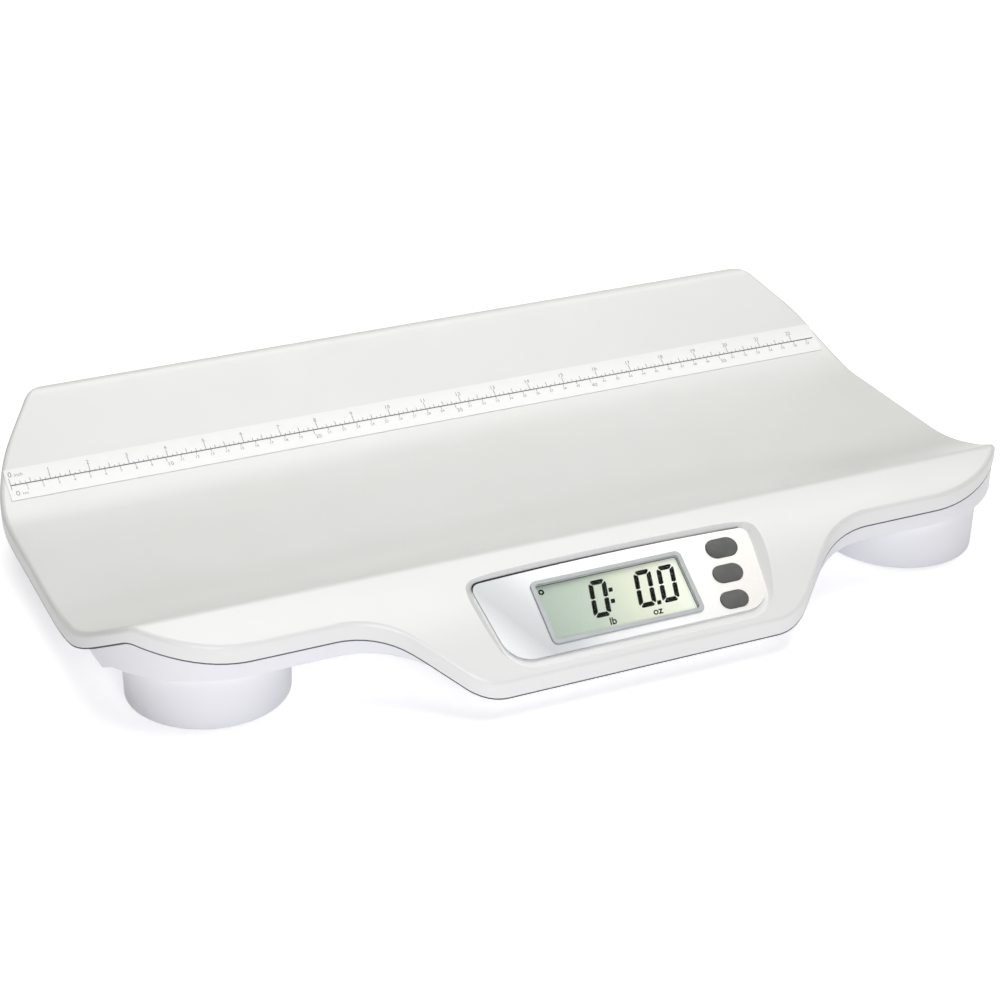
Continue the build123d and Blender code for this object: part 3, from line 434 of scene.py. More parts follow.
# Painted reflection: these tones darken and lighten across the plate as a reflection would.
SILVER_REFLECTION_TONES = ((0.0, "CDCFD1"), (0.10, "AFB2B4"), (0.19, "B9BCBE"), (0.30, "D4D6D7"),
                (0.52, "E8E9EA"), (0.75, "EDECE9"), (1.0, "EEEBE6"))    # from left to right
SILVER_X_ENDS = (-87.0, 91.0)       # mm, where the tones begin and end
SILVER_Y_ENDS = (-174.0, -127.0)    # mm, the plate's lower and upper edge
SILVER_LEAN = 0.10         # share of the tones by which they lean over towards the back
SILVER_ROUGHNESS = (0.26, 0.36)
FLAKE_SIZE = 0.5           # mm; real flake is 0.02 mm, drawn coarser so that it shows
FLAKE_SHARE = 0.05         # how strongly the flake glitters


def on_panel(x, s, n):
    """Place in metres on the panel: x mm to the right, s mm up the slope, n mm out of it."""
    return PANEL_ORIGIN + Vector((x * MM, 0, 0)) + PANEL_UP * (s * MM) + PANEL_OUT * (n * MM)


def set_tones(ramp, tones):
    """Gives a colour ramp the colours of tones, which are (place, colour) in their order."""
    for tone in tones[1:-1]:
        ramp.elements.new(tone[0])
    for element, (place, colour) in zip(ramp.elements, tones):
        element.position = place
        element.color = linear(colour)


def silver_print():
    """Silver-printed polycarbonate: satin metal sheen under a clear hard coat, with a painted
    reflection from dark at the left to light at the right.
    """
    material, tree, place = new_material("silver printed polycarbonate")
    parts = add_node(tree, "ShaderNodeSeparateXYZ", {}, {0: place})
    across = add_node(tree, "ShaderNodeMapRange",
                      {"From Min": SILVER_X_ENDS[0] * MM, "From Max": SILVER_X_ENDS[1] * MM},
                      {"Value": parts.outputs["X"]})
    lean = add_node(tree, "ShaderNodeMapRange",
                    {"From Min": SILVER_Y_ENDS[0] * MM, "From Max": SILVER_Y_ENDS[1] * MM,
                     "To Min": -SILVER_LEAN, "To Max": SILVER_LEAN},
                    {"Value": parts.outputs["Y"]})
    shift = add_node(tree, "ShaderNodeMath", {"operation": "ADD"},
                     {0: across.outputs["Result"], 1: lean.outputs["Result"]})
    painted_reflection = add_node(tree, "ShaderNodeValToRGB", {}, {"Fac": shift.outputs["Value"]})
    set_tones(painted_reflection.color_ramp, SILVER_REFLECTION_TONES)
    flakes = add_node(tree, "ShaderNodeTexVoronoi", {"Scale": 1 / (FLAKE_SIZE * MM)},
                      {"Vector": place})
    glitter = add_node(tree, "ShaderNodeMix", {"data_type": "RGBA", "blend_type": "MULTIPLY",
                                               0: FLAKE_SHARE},
                       {6: painted_reflection.outputs["Color"], 7: flakes.outputs["Color"]})
    gloss = add_node(tree, "ShaderNodeMapRange",
                     {"To Min": SILVER_ROUGHNESS[0], "To Max": SILVER_ROUGHNESS[1]},
                     {"Value": flakes.outputs["Distance"]})
    shader = add_node(tree, "ShaderNodeBsdfPrincipled",
                      {"Metallic": 0.3, "IOR": 1.5, "Coat Weight": 0.2,
                       "Coat Roughness": 0.12},
                      {"Base Color": glitter.outputs[2], "Roughness": gloss.outputs["Result"]})
    return finish(material, shader)


dress(cad["faceplate"], silver_print())

# ---- faceplate edge shadow ----------------------------------------------------------
# A dark hairline along the plate's upper edge, where the plate sits deeper at the left end
# than at the right, is painted shade for the shadow in the recess.
PLATE_SHADOW_BLACK = "2A2C2D"
PLATE_SHADOW_PALE = "36383A"
SEAM_ROUGHNESS = 0.8
SEAM_GRAIN = 0.4           # mm, size of the fine pits in its surface
PLATE_X = 2.2              # mm, middle of the plate
PLATE_HALF = 89.0          # mm, at the top
PLATE_TOP = 27.2           # mm up the slope, at the ends
PLATE_CROWN = 1.8          # mm more in the middle
PLATE_CORNER = 5.0         # mm
SEAM_PLAY = 0.05           # mm, from the plate's edge to the line
SEAM_LEFT = 1.3            # mm wide
SEAM_RIGHT = 0.45          # mm wide
SEAM_LEVELS = (-0.9, -0.15)         # mm out of the panel plane
SEAM_NARROWS = 0.8         # share of the edge after which the line has its right width
SEAM_STEPS = 40
CORNER_SHIFT = (0.6, 0.1)  # mm, middle of the corner's arc from where the plate's sizes put it
CORNER_START = 170.0       # degrees, low on the corner
CORNER_SWEEP = 78.0        # degrees
CORNER_STEPS = 8
CORNER_WIDTH = 0.15        # share of the line's width at the foot of the corner
CORNER_WIDENS = 5          # steps in which it would gain its whole width


def seam_outline():
    """The plate's upper edge and upper left corner, and a line set out from it."""
    edge, outer = [], []
    corner = Vector((PLATE_X - PLATE_HALF + PLATE_CORNER + CORNER_SHIFT[0],
                     PLATE_TOP - PLATE_CORNER + CORNER_SHIFT[1]))
    for k in range(CORNER_STEPS + 1):
        angle = math.radians(CORNER_START - CORNER_SWEEP * k / CORNER_STEPS)
        way = Vector((math.cos(angle), math.sin(angle)))
        width = SEAM_LEFT * min(1.0, CORNER_WIDTH + k / CORNER_WIDENS)
        edge.append(tuple(corner + way * (PLATE_CORNER + SEAM_PLAY)))
        outer.append(tuple(corner + way * (PLATE_CORNER + width)))
    for k in range(1, SEAM_STEPS + 1):
        share = k / SEAM_STEPS
        x = PLATE_X + (2 * share - 1) * (PLATE_HALF - PLATE_CORNER)
        s = PLATE_TOP + PLATE_CROWN * (1 - ((x - PLATE_X) / PLATE_HALF) ** 2)
        width = SEAM_LEFT + (SEAM_RIGHT - SEAM_LEFT) * min(1.0, share / SEAM_NARROWS)
        edge.append((x, s + SEAM_PLAY))
        outer.append((x, s + width))
    return edge + outer[::-1]


def draw_seam(shape):
    """Hairline of painted shade beside the plate's upper edge, narrowing to the right."""
    add_prism(shape, seam_outline(), *SEAM_LEVELS, on_panel)


# Painted shade: the near-black strip stands for the shadow along the plate's upper edge.
dress(add_mesh("plate_edge_shadow", draw_seam, "scale"),
      plain_moulding("painted plate shadow", PLATE_SHADOW_BLACK, PLATE_SHADOW_PALE, SEAM_ROUGHNESS, SEAM_GRAIN))

# ---- display cell -------------------------------------------------------------------
# A reflective liquid-crystal cell that fills its opening. Its back is a grey-green
# reflector under polarising film. Its tone is painted lighter from left to right as a
# painted reflection, and it is given a soft painted glow in that tone.
GLASS_X = -4.6             # mm, middle of the display along the panel
GLASS_S = 0.6              # mm, middle of the display up the slope
GLASS_LENGTH = 91.0        # mm
GLASS_HEIGHT = 36.0        # mm
LCD_TOP = -1.75            # mm out of the panel plane
LCD_BOTTOM = -3.5          # mm out of the panel plane
LCD_GAP = 0.25             # mm of play in its opening
LCD_CORNER = 1.8           # mm
ROUND_STEPS = 6            # stretches of each rounded corner
# Painted reflection: the film is drawn darker at the left and lighter at the right.
LCD_REFLECTION_TONES = ((0.0, "AAB4AC"), (0.3, "BDC6BC"), (0.6, "DFE0D0"), (1.0, "F8F7EC"))
REFLECTOR_ENDS = (-50.0, 41.0)      # mm, where the tones begin and end
REFLECTOR_ROUGHNESS = (0.38, 0.5)
REFLECTOR_GRAIN = 0.6      # mm; the film's fine grain, drawn coarser so that it shows
GRAIN_SHARE = 0.06         # how strongly the grain speckles the film
LCD_PAINTED_GLOW = 0.17           # strength of a painted glow; the cell has no light of its own


def rounded_outline(cx, cy, length, height, radius):
    """Outline of a rounded rectangle round (cx, cy)."""
    corners = []
    for sx, sy, start in ((1, 1, 0), (-1, 1, 90), (-1, -1, 180), (1, -1, 270)):
        for k in range(ROUND_STEPS + 1):
            angle = math.radians(start + 90 * k / ROUND_STEPS)
            corners.append((cx + sx * (length / 2 - radius) + radius * math.cos(angle),
                            cy + sy * (height / 2 - radius) + radius * math.sin(angle)))
    return corners


def draw_reflector(shape):
    """Reflector and cell of the display, a plate that fills its opening."""
    add_prism(shape, rounded_outline(GLASS_X, GLASS_S, GLASS_LENGTH - 2 * LCD_GAP,
                                     GLASS_HEIGHT - 2 * LCD_GAP, LCD_CORNER),
              LCD_BOTTOM, LCD_TOP, on_panel)


def polarising_film():
    """Polariser and reflector: grey-green with a painted reflection brighter at the right and a
    painted glow, silky, faintly speckled.
    """
    material, tree, place = new_material("grey-green polarising film")
    parts = add_node(tree, "ShaderNodeSeparateXYZ", {}, {0: place})
    across = add_node(tree, "ShaderNodeMapRange",
                      {"From Min": REFLECTOR_ENDS[0] * MM, "From Max": REFLECTOR_ENDS[1] * MM},
                      {"Value": parts.outputs["X"]})
    tone = add_node(tree, "ShaderNodeValToRGB", {}, {"Fac": across.outputs["Result"]})
    set_tones(tone.color_ramp, LCD_REFLECTION_TONES)
    grain = add_node(tree, "ShaderNodeTexNoise",
                     {"Scale": 1 / (REFLECTOR_GRAIN * MM), "Detail": 2.0}, {"Vector": place})
    speck = add_node(tree, "ShaderNodeMix", {"data_type": "RGBA", "blend_type": "MULTIPLY",
                                             0: GRAIN_SHARE},
                     {6: tone.outputs["Color"], 7: grain.outputs["Color"]})
    gloss = add_node(tree, "ShaderNodeMapRange",
                     {"To Min": REFLECTOR_ROUGHNESS[0], "To Max": REFLECTOR_ROUGHNESS[1]},
                     {"Value": grain.outputs["Fac"]})
    shader = add_node(tree, "ShaderNodeBsdfPrincipled",
                      {"IOR": 1.5, "Emission Strength": LCD_PAINTED_GLOW},
                      {"Base Color": speck.outputs[2], "Roughness": gloss.outputs["Result"],
                       "Emission Color": tone.outputs["Color"]})
    return finish(material, shader)


lcd_cell = add_mesh("lcd_cell", draw_reflector, "scale")
dress(lcd_cell, polarising_film())
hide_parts("lcd_panel")

# ---- display segments ---------------------------------------------------------------
# The reading is switched on in the liquid crystal just over the reflector: three zeros of
# separate bars, a colon, a point, a small ring and the units, black between polarisers.
SEGMENT_BLACK = "060706"
SEGMENT_SHADE = "0C0E0C"
SEGMENT_ROUGHNESS = (0.8, 0.95)
SEGMENT_GRAIN = 0.5        # mm; drawn coarser than the real electrodes, so that it shows
SEGMENT_LEVELS = (-1.76, -1.66)     # mm out of the panel plane
DIGIT_XS = (-16.9, 12.0, 26.9)      # mm, middle of each digit's foot
DIGIT_FOOT = -8.7          # mm up the slope
DIGIT_HEIGHT = 23.5        # mm
DIGIT_WIDTH = 11.2         # mm
DIGIT_STROKE = 2.95        # mm
DIGIT_GAP = 0.42           # mm between bars
DIGIT_SLANT = math.tan(math.radians(12.5))
DOTS = ((-5.8, 6.9), (-7.3, -0.3), (19.4, -7.5))  # mm, colon and point
DOT_SIZE = 2.6             # mm
DOT_CORNER = 0.4           # mm
UNITS = (("lb", -12.5), ("oz", 16.0))             # mm, middle of each word
UNIT_FOOT = -14.5          # mm up the slope
UNIT_HEIGHT = 4.6          # mm
UNIT_SLANT = 0.15          # mm sideways for each mm up
UNIT_BOLD = 0.12           # mm that the letters' strokes are set out
RING_PLACE = (-46.6, 14.6)          # mm
RING_SIZES = (3.5, 1.5)    # mm across, outside and hole
RING_FLAT = 0.01           # mm that its corner radius stays under half of its size


def add_ring(shape, outer, inner, low, high, place):
    """Closed ring between two outlines with the same number of corners."""
    loops = [[shape.verts.new(place(x, y, n)) for x, y in outline]
             for outline, n in ((outer, low), (outer, high), (inner, high), (inner, low))]
    count = len(outer)
    for k, loop in enumerate(loops):
        following = loops[(k + 1) % len(loops)]
        for i in range(count):
            j = (i + 1) % count
            shape.faces.new((loop[i], loop[j], following[j], following[i]))


def zero_bars():
    """The six outer bars of a 0, each as an outline in a digit's own upright frame.

    Where two bars meet their ends are cut to slants, as shares of the stroke.
    """
    half, height, stroke, gap = DIGIT_WIDTH / 2, DIGIT_HEIGHT, DIGIT_STROKE, DIGIT_GAP
    top = height - gap
    foot = (height + gap) / 2
    right_end = [(half - 0.70 * stroke, height), (half - 0.45 * stroke, height - 0.3 * stroke),
                 (half - 0.95 * stroke, height - stroke)]
    across = right_end + [(-x, y) for x, y in right_end[::-1]]
    side = [(half, top - 0.75 * stroke), (half - 0.25 * stroke, top - 0.45 * stroke),
            (half - 0.95 * stroke, top - stroke), (half - stroke, top - 1.2 * stroke),
            (half - stroke, foot + 0.2 * stroke), (half - 0.5 * stroke, foot),
            (half, foot + 0.2 * stroke)]
    return [across, side, [(x, height - y) for x, y in across], [(-x, y) for x, y in side],
            [(x, height - y) for x, y in side], [(-x, height - y) for x, y in side]]


def on_slant(x, s, n):
    """Place on the panel for what leans over like the digits."""
    return on_panel(x + (s - DIGIT_FOOT) * DIGIT_SLANT, s, n)


def draw_segments(shape):
    """Digits, colon, decimal point, unit words and the small ring of the display."""
    for foot_x in DIGIT_XS:
        for bar in zero_bars():
            add_prism(shape, [(foot_x + x, DIGIT_FOOT + y) for x, y in bar],
                      *SEGMENT_LEVELS, on_slant)
    for x, s in DOTS:
        upright_x = x - (s - DIGIT_FOOT) * DIGIT_SLANT
        add_prism(shape, rounded_outline(upright_x, s, DOT_SIZE, DOT_SIZE, DOT_CORNER),
                  *SEGMENT_LEVELS, on_slant)
    for words, x in UNITS:
        add_words(shape, words, UNIT_HEIGHT, x, UNIT_FOOT, *SEGMENT_LEVELS, on_panel,
                  slant=UNIT_SLANT, bold=UNIT_BOLD)
    outer, inner = [rounded_outline(*RING_PLACE, size, size, size / 2 - RING_FLAT)
                    for size in RING_SIZES]
    add_ring(shape, outer, inner, *SEGMENT_LEVELS, on_panel)


def switched_crystal():
    """Segments: light turned off between crossed polarisers, a dead matt black."""
    material, tree, place = new_material("switched liquid crystal")
    grain = add_node(tree, "ShaderNodeTexNoise",
                     {"Scale": 1 / (SEGMENT_GRAIN * MM), "Detail": 2.0}, {"Vector": place})
    tone = add_node(tree, "ShaderNodeMix", {"data_type": "RGBA", 6: linear(SEGMENT_BLACK),
                                            7: linear(SEGMENT_SHADE)},
                    {0: grain.outputs["Fac"]})
    gloss = add_node(tree, "ShaderNodeMapRange",
                     {"To Min": SEGMENT_ROUGHNESS[0], "To Max": SEGMENT_ROUGHNESS[1]},
                     {"Value": grain.outputs["Fac"]})
    shader = add_node(tree, "ShaderNodeBsdfPrincipled", {"Specular IOR Level": 0.05},
                      {"Base Color": tone.outputs[2], "Roughness": gloss.outputs["Result"]})
    return finish(material, shader)


dress(add_mesh("lcd_segments", draw_segments, "scale"), switched_crystal())

# ---- display gasket, window, bezel and holder ---------------------------------------
# A thin foam gasket seals the cell to a clear acrylic window with an anti-glare coat. A
# grey ABS bezel frames the window, and a holder of undyed ABS carries the cell from behind.
GASKET_GREY = "595C5D"
GASKET_WORN = "636667"
GASKET_EDGES = ((0.1, 1.9), (0.7, 1.7))  # mm less than the glass and corner; outside, inside
GASKET_TOP = -1.45         # mm out of the panel plane
ACRYLIC_IOR = 1.49
ACRYLIC_ROUGHNESS = (0.06, 0.14)
HAZE_SIZE = 18.0           # mm, slow change of the coat's haze
COAT_MIRROR = 0.06         # share of a bare pane's mirror that the anti-glare coat leaves
BEZEL_GREY = "B9BDBE"
BEZEL_WORN = "C0C4C5"
UNDYED_ABS = "DEDED8"
UNDYED_WORN = "E6E6E0"


def draw_gasket(shape):
    """Thin foam frame between the cell and the back of the window."""
    outer, inner = [rounded_outline(GLASS_X, GLASS_S, GLASS_LENGTH - less,
                                    GLASS_HEIGHT - less, corner)
                    for less, corner in GASKET_EDGES]
    add_ring(shape, outer, inner, LCD_TOP, GASKET_TOP, on_panel)


def clear_acrylic():
    """Polished acrylic with an anti-glare coat: water clear, faint mirror, finely hazed."""
    material, tree, place = new_material("coated clear acrylic")
    haze = add_node(tree, "ShaderNodeTexNoise", {"Scale": 1 / (HAZE_SIZE * MM), "Detail": 4.0},
                    {"Vector": place})
    gloss = add_node(tree, "ShaderNodeMapRange",
                     {"To Min": ACRYLIC_ROUGHNESS[0], "To Max": ACRYLIC_ROUGHNESS[1]},
                     {"Value": haze.outputs["Fac"]})
    mirror = add_node(tree, "ShaderNodeBsdfPrincipled",
                      {"Base Color": linear("FFFFFF"), "Metallic": 1.0},
                      {"Roughness": gloss.outputs["Result"]})
    clear = add_node(tree, "ShaderNodeBsdfTransparent", {"Color": linear("FCFEFC")})
    share = add_node(tree, "ShaderNodeFresnel", {"IOR": ACRYLIC_IOR})
    coated = add_node(tree, "ShaderNodeMath", {"operation": "MULTIPLY", 1: COAT_MIRROR},
                      {0: share.outputs["Fac"]})
    pane = add_node(tree, "ShaderNodeMixShader", {},
                    {0: coated.outputs["Value"], 1: clear.outputs["BSDF"],
                     2: mirror.outputs["BSDF"]})
    return finish(material, pane)


dress(add_mesh("lcd_gasket", draw_gasket, "scale"),
      plain_moulding("grey foam", GASKET_GREY, GASKET_WORN, FOAM_ROUGHNESS, FOAM_CELL))
dress(cad["display_window"], clear_acrylic())
dress(cad["lcd_bezel"], plain_moulding("grey moulded ABS", BEZEL_GREY, BEZEL_WORN,
                                       roughness=0.4, pitch=0.5))
undyed_abs = plain_moulding("natural ABS", UNDYED_ABS, UNDYED_WORN, roughness=0.45, pitch=0.6)
dress(cad["lcd_holder"], undyed_abs)

# ---- keys ---------------------------------------------------------------------------
# Three press keys of dark grey silicone rubber, each with its flange behind the recess,
# matt, rubbed a little paler and glossier in random patches.
KEY_GREY = "565755"
KEY_WORN = "646563"

key_rubber = plain_moulding("matt silicone rubber", KEY_GREY, KEY_WORN,
                            roughness=0.55, pitch=0.35)
for number in (1, 2, 3):
    dress(cad[f"button_{number}"], key_rubber)

# ---- board and what stands on it ----------------------------------------------------
# Glass-epoxy board under green solder mask, with copper tracks showing through, black
# switches and buzzer, and a moulded ABS plug for the cell leads.
MASK_GREENS = ("14502B", "16552F")
TRACK_GREEN = "2E7A49"
MASK_ROUGHNESS = (0.18, 0.34)
TRACK_NET = 9.0            # mm, spacing of the tracks
TRACK_HEIGHT = 0.03        # mm
BLOTCH_SIZE = 5.0          # mm, uneven gloss of the mask
PHENOLIC_BLACK = "141516"
PHENOLIC_WORN = "202123"


def solder_mask():
    """Green solder mask over copper: glossy, with raised lighter tracks in a staggered net."""
    material, tree, place = new_material("green solder mask")
    tracks = add_node(tree, "ShaderNodeTexBrick",
                      {"Scale": 1 / (TRACK_NET * MM), "Mortar Size": 0.035,
                       "Color1": linear(MASK_GREENS[0]), "Color2": linear(MASK_GREENS[1]),
                       "Mortar": linear(TRACK_GREEN), "offset": 0.37, "squash": 0.6},
                      {"Vector": place})
    bump = add_node(tree, "ShaderNodeBump", {"Strength": 0.5, "Distance": TRACK_HEIGHT * MM},
                    {"Height": tracks.outputs["Fac"]})
    blotch = add_node(tree, "ShaderNodeTexNoise",
                      {"Scale": 1 / (BLOTCH_SIZE * MM), "Detail": 3.0}, {"Vector": place})
    gloss = add_node(tree, "ShaderNodeMapRange",
                     {"To Min": MASK_ROUGHNESS[0], "To Max": MASK_ROUGHNESS[1]},
                     {"Value": blotch.outputs["Fac"]})
    shader = add_node(tree, "ShaderNodeBsdfPrincipled", {"IOR": 1.5},
                      {"Base Color": tracks.outputs["Color"],
                       "Roughness": gloss.outputs["Result"], "Normal": bump.outputs["Normal"]})
    return finish(material, shader)


dress(cad["main_board"], solder_mask())
black_phenolic = plain_moulding("black phenolic", PHENOLIC_BLACK, PHENOLIC_WORN,
                                roughness=0.42, pitch=0.4)
dress(cad["key_switches"], black_phenolic)
dress(cad["buzzer"], black_phenolic)
dress(cad["lead_connector"], undyed_abs)

# ---- screws and contacts ------------------------------------------------------------
# Zinc-plated steel screws hold the case and the board, and nickel-plated strips touch the
# batteries. Bare metal, with the fine lines that the tool left.
ZINC = "C4C5C8"
NICKEL = "C9C4B8"
BLOOM_SIZE = 4.0           # mm, patches of darker bloom
BLOOM_SHADE = 0.82         # how dark the bloom gets
TOOL_GLOSS = (-0.07, 0.1)  # how far the roughness strays with the tool lines
TOOL_DEPTH = 0.01          # mm; real lines are 0.1 mm apart, drawn coarser so that they show


def metal(name, colour, roughness, line_width, stretch):
    """Bare metal: tool lines, squeezed or stretched along the axes, small changes of gloss."""
    material, tree, place = new_material(name)
    spread = add_node(tree, "ShaderNodeMapping", {"Scale": stretch}, {"Vector": place})
    lines = add_node(tree, "ShaderNodeTexNoise", {"Scale": 1 / (line_width * MM),
                                                  "Detail": 3.0},
                     {"Vector": spread.outputs["Vector"]})
    bloom = add_node(tree, "ShaderNodeTexNoise",
                     {"Scale": 1 / (BLOOM_SIZE * MM), "Detail": 3.0}, {"Vector": place})
    dark = [c * BLOOM_SHADE for c in linear(colour)[:3]] + [1.0]
    tone = add_node(tree, "ShaderNodeMix", {"data_type": "RGBA", 6: linear(colour), 7: dark},
                    {0: bloom.outputs["Fac"]})
    gloss = add_node(tree, "ShaderNodeMapRange",
                     {"To Min": roughness + TOOL_GLOSS[0], "To Max": roughness + TOOL_GLOSS[1]},
                     {"Value": lines.outputs["Fac"]})
    bump = add_node(tree, "ShaderNodeBump", {"Strength": 0.4, "Distance": TOOL_DEPTH * MM},
                    {"Height": lines.outputs["Fac"]})
    shader = add_node(tree, "ShaderNodeBsdfPrincipled", {"Metallic": 1.0},
                      {"Base Color": tone.outputs[2], "Roughness": gloss.outputs["Result"],
                       "Normal": bump.outputs["Normal"]})
    return finish(material, shader)


zinc = metal("zinc-plated steel", ZINC, roughness=0.3, line_width=0.5, stretch=(1, 1, 1))
dress(cad["case_screws"], zinc)
dress(cad["board_screws"], zinc)
dress(cad["battery_contacts"], metal("nickel-plated steel", NICKEL, roughness=0.24,
                                     line_width=0.4, stretch=(1, 1, 6)))

# ---- feet ---------------------------------------------------------------------------
# Each foot is a moulded nylon cup hung from its load cell, a bar of milled aluminium, with
# a soft black rubber pad pressed into it that stands on the floor.
MILLED_GREY = "C8CACC"
NYLON_WHITE = "DCDDE0"
NYLON_WORN = "E3E4E7"
RUBBER_BLACK = "1B1C1E"
RUBBER_WORN = "2C2D2F"

milled = metal("milled aluminium", MILLED_GREY, roughness=0.36, line_width=0.3,
               stretch=(0.05, 1.0, 1.0))
cup_nylon = plain_moulding("moulded nylon", NYLON_WHITE, NYLON_WORN,
                           roughness=0.42, pitch=0.5)
pad_rubber = plain_moulding("moulded black rubber", RUBBER_BLACK, RUBBER_WORN,
                            roughness=0.68, pitch=0.45)
for corner in ("left_front", "left_back", "right_front", "right_back"):
    dress(cad[f"load_cell_{corner}"], milled)
    dress(cad[f"cell_screws_{corner}"], zinc)
    dress(cad[f"foot_cup_{corner}"], cup_nylon)
    dress(cad[f"rubber_foot_{corner}"], pad_rubber)

# ---- batteries ----------------------------------------------------------------------
# Four AA cells in printed shrink sleeves, dark with one copper-coloured band. Their ends
# stay bare steel.
SLEEVE_TONES = ((0.0, "B9B9B6"), (0.025, "24272B"), (0.66, "B8733D"), (0.93, "24272B"),
                (0.975, "B9B9B6"))      # along a cell, from one end to the other
SLEEVE_ROUGHNESS = (0.18, 0.34)
SCUFF_SIZE = 3.0           # mm, fine scuffs
BAY_MIDDLE_Y = -52.75      # mm
BAY_HALF = 26.0            # mm, from its middle to either end of the tones


def shrink_sleeve():
    """Printed shrink sleeve: glossy dark film with a metallic band and bare steel ends."""
    material, tree, place = new_material("printed shrink sleeve")
    parts = add_node(tree, "ShaderNodeSeparateXYZ", {}, {0: place})
    along = add_node(tree, "ShaderNodeMapRange",
                     {"From Min": (BAY_MIDDLE_Y - BAY_HALF) * MM,
                      "From Max": (BAY_MIDDLE_Y + BAY_HALF) * MM},
                     {"Value": parts.outputs["Y"]})
    bands = add_node(tree, "ShaderNodeValToRGB", {}, {"Fac": along.outputs["Result"]})
    bands.color_ramp.interpolation = "CONSTANT"
    set_tones(bands.color_ramp, SLEEVE_TONES)
    scuff = add_node(tree, "ShaderNodeTexNoise",
                     {"Scale": 1 / (SCUFF_SIZE * MM), "Detail": 4.0}, {"Vector": place})
    gloss = add_node(tree, "ShaderNodeMapRange",
                     {"To Min": SLEEVE_ROUGHNESS[0], "To Max": SLEEVE_ROUGHNESS[1]},
                     {"Value": scuff.outputs["Fac"]})
    shader = add_node(tree, "ShaderNodeBsdfPrincipled", {"IOR": 1.5, "Metallic": 0.4},
                      {"Base Color": bands.outputs["Color"],
                       "Roughness": gloss.outputs["Result"]})
    return finish(material, shader)


dress(cad["battery_cells"], shrink_sleeve())

# ---- leads --------------------------------------------------------------------------
# Stranded copper in extruded PVC covers: grey leads from the load cells, a red and a black
# one from the batteries. The covers are smooth, with a low even sheen.
PVC_PITCH = 0.6            # mm, faint ripple of the extruded cover
LEAD_COVERS = (            # piece, cover, its colour, its rubbed colour, roughness
    ("load_cell_leads", "grey PVC cover", "9FA1A3", "A9ABAD", 0.45),
    ("battery_lead_plus", "red PVC cover", "A8231E", "B5302A", 0.42),
    ("battery_lead_minus", "black PVC cover", "1A1B1C", "252628", 0.42),
)

for lead, cover, colour, worn, roughness in LEAD_COVERS:
    dress(cad[lead], plain_moulding(cover, colour, worn, roughness, PVC_PITCH))

# ---- table --------------------------------------------------------------------------
# The scale stands on a wide sweep of white paper that glows faintly, as if lit through. It
# is evenly white near the scale and fades into the white backdrop further off.
PAPER_WHITE = "FFFFFF"
PAPER_SHADE = "FDFDFD"
FIBRE_SIZE = 40.0          # mm, very faint mottle
PAPER_GLOW = 0.17          # light that the paper gives to the scale
PAPER_SHOWS = (0.46, 1.0)  # light that it shows to the camera, near the scale and far off
PAPER_FADES = (600.0, 2400.0)       # mm from the middle, between which that light rises
PAPER_HALF = 12000.0       # mm


def sweep_paper():
    """White sweep paper: even, matt, very faintly mottled."""
    material, tree, place = new_material("white sweep paper")
    fibre = add_node(tree, "ShaderNodeTexNoise",
                     {"Scale": 1 / (FIBRE_SIZE * MM), "Detail": 3.0}, {"Vector": place})
    tone = add_node(tree, "ShaderNodeMix", {"data_type": "RGBA", 6: linear(PAPER_WHITE),
                                            7: linear(PAPER_SHADE)}, {0: fibre.outputs["Fac"]})
    seen = add_node(tree, "ShaderNodeLightPath", {}).outputs["Is Camera Ray"]
    away = add_node(tree, "ShaderNodeVectorMath", {"operation": "LENGTH"}, {0: place})
    shown = add_node(tree, "ShaderNodeMapRange",
                     {"From Min": PAPER_FADES[0] * MM, "From Max": PAPER_FADES[1] * MM,
                      "To Min": PAPER_SHOWS[0], "To Max": PAPER_SHOWS[1]},
                     {"Value": away.outputs["Value"]})
    shine = add_node(tree, "ShaderNodeMix", {"data_type": "FLOAT", 2: PAPER_GLOW},
                     {0: seen, 3: shown.outputs["Result"]})
    shader = add_node(tree, "ShaderNodeBsdfPrincipled",
                      {"Roughness": 0.9, "Specular IOR Level": 0.1,
                       "Emission Color": linear("FFFFFF")},
                      {"Base Color": tone.outputs[2], "Emission Strength": shine.outputs[0]})
    return finish(material, shader)


half = PAPER_HALF * MM
sheet = bpy.data.meshes.new("floor")
sheet.from_pydata([(x, y, 0) for x, y in box_outline(-half, half, -half, half)], [],
                  [(0, 1, 2, 3)])
floor = bpy.data.objects.new("floor", sheet)
bpy.context.scene.collection.objects.link(floor)
dress(floor, sweep_paper())

# ---- lamps and room -----------------------------------------------------------------
# A large softbox hangs overhead, and a weaker, smaller one stands in front at the left.
# The room itself is nearly dark and shows the camera a white backdrop.
ROOM_LIGHT = 0.03
BACKDROP_LIGHT = 1.0


def add_softbox(name, place, target, width, height, power, colour):
    """A softbox at place turned to target, sizes in metres and power in watts."""
    lamp = bpy.data.lights.new(name, "AREA")
    lamp.color = linear(colour)[:3]
    lamp.shape = "RECTANGLE"
    lamp.size = width
    lamp.size_y = height
    lamp.energy = power
    softbox = bpy.data.objects.new(name, lamp)
    softbox.location = place
    aim = Vector(target) - Vector(place)
    softbox.rotation_mode = "QUATERNION"
    softbox.rotation_quaternion = aim.to_track_quat("-Z", "Y")
    bpy.context.scene.collection.objects.link(softbox)


add_softbox("top_softbox", place=(0.3, 0.35, 1.87), target=(0, 0, 0),
            width=2.1, height=1.6, power=36, colour="FFFFFC")
add_softbox("front_softbox", place=(-0.5, -1.5, 0.7), target=(-0.1, 0, 0.03),
            width=0.7, height=0.6, power=12.5, colour="FAF8FF")

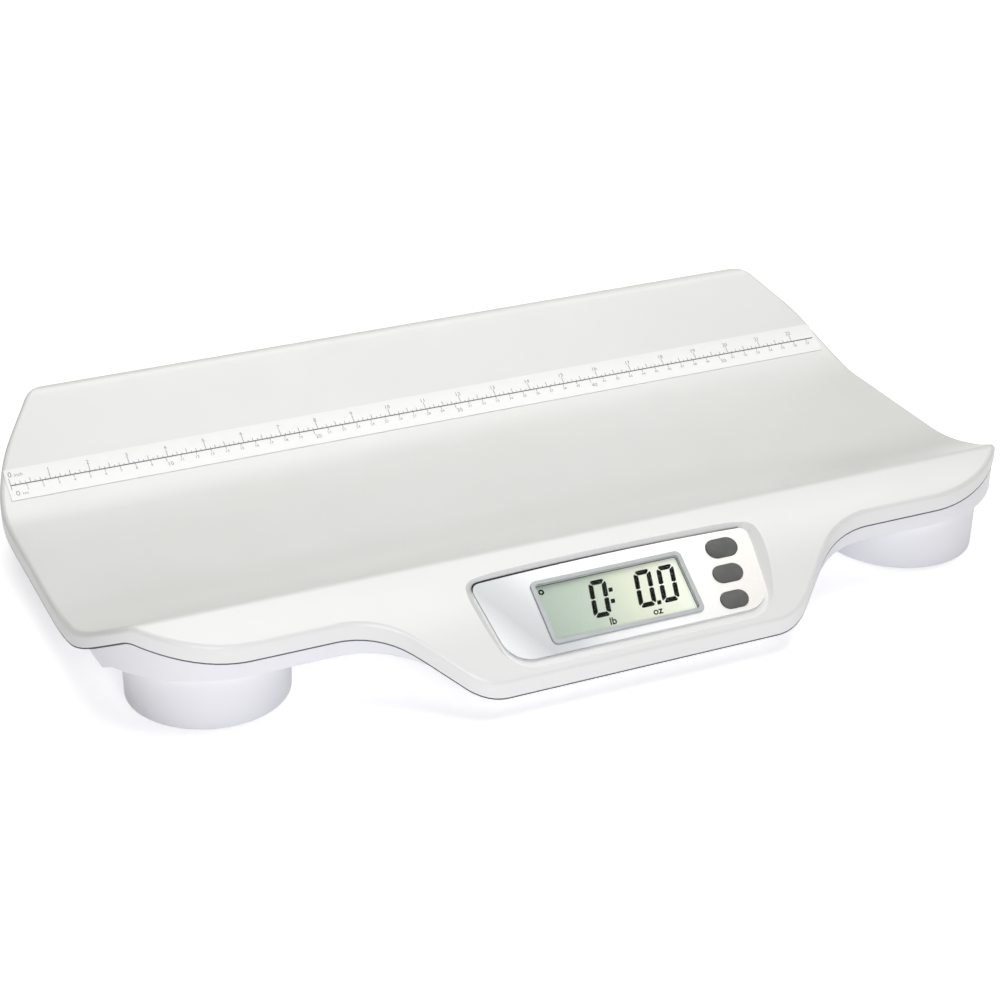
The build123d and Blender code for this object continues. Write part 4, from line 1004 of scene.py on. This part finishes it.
world = bpy.data.worlds.new("studio")
bpy.context.scene.world = world
world.use_nodes = True
room = world.node_tree
room.nodes.clear()
dim, backdrop = [add_node(room, "ShaderNodeBackground", {"Color": linear("FFFFFF"),
                                                         "Strength": strength})
                 for strength in (ROOM_LIGHT, BACKDROP_LIGHT)]
seen = add_node(room, "ShaderNodeLightPath", {})
choice = add_node(room, "ShaderNodeMixShader", {}, {0: seen.outputs["Is Camera Ray"],
                                                    1: dim.outputs["Background"],
                                                    2: backdrop.outputs["Background"]})
add_node(room, "ShaderNodeOutputWorld", {}, {"Surface": choice.outputs["Shader"]})

# ---- camera -------------------------------------------------------------------------
# The camera stands at the front left and looks down along the tray. Its lens is shifted a
# little sideways, so it looks past the middle of the picture.
CAMERA_PLACE = Vector((-557.3, -1159.8, 700.5)) * MM
CAMERA_TURN = math.radians(23.11)
CAMERA_DIP = math.radians(27.47)
CAMERA_ROLL = math.radians(0.15)
CAMERA_LENS = 83.68        # mm
CAMERA_SENSOR = 36.0       # mm
CAMERA_SHIFT = 0.08        # share of the picture's width
CAMERA_REACH = (0.05, 60.0)         # metres, nearest and furthest that it sees

level = Vector((math.cos(CAMERA_TURN), -math.sin(CAMERA_TURN), 0))
ahead = Vector((math.sin(CAMERA_TURN) * math.cos(CAMERA_DIP),
                math.cos(CAMERA_TURN) * math.cos(CAMERA_DIP), -math.sin(CAMERA_DIP)))
below = ahead.cross(level)
right = level * math.cos(CAMERA_ROLL) + below * math.sin(CAMERA_ROLL)
down = below * math.cos(CAMERA_ROLL) - level * math.sin(CAMERA_ROLL)
lens = bpy.data.cameras.new("camera")
lens.lens = CAMERA_LENS
lens.sensor_width = CAMERA_SENSOR
lens.shift_x = CAMERA_SHIFT
lens.clip_start, lens.clip_end = CAMERA_REACH
camera = bpy.data.objects.new("camera", lens)
camera.matrix_world = Matrix.Translation(CAMERA_PLACE) @ Matrix(
    (right, -down, -ahead)).transposed().to_4x4()
bpy.context.scene.collection.objects.link(camera)
bpy.context.scene.camera = camera
bpy.context.scene.view_settings.view_transform = "Standard"
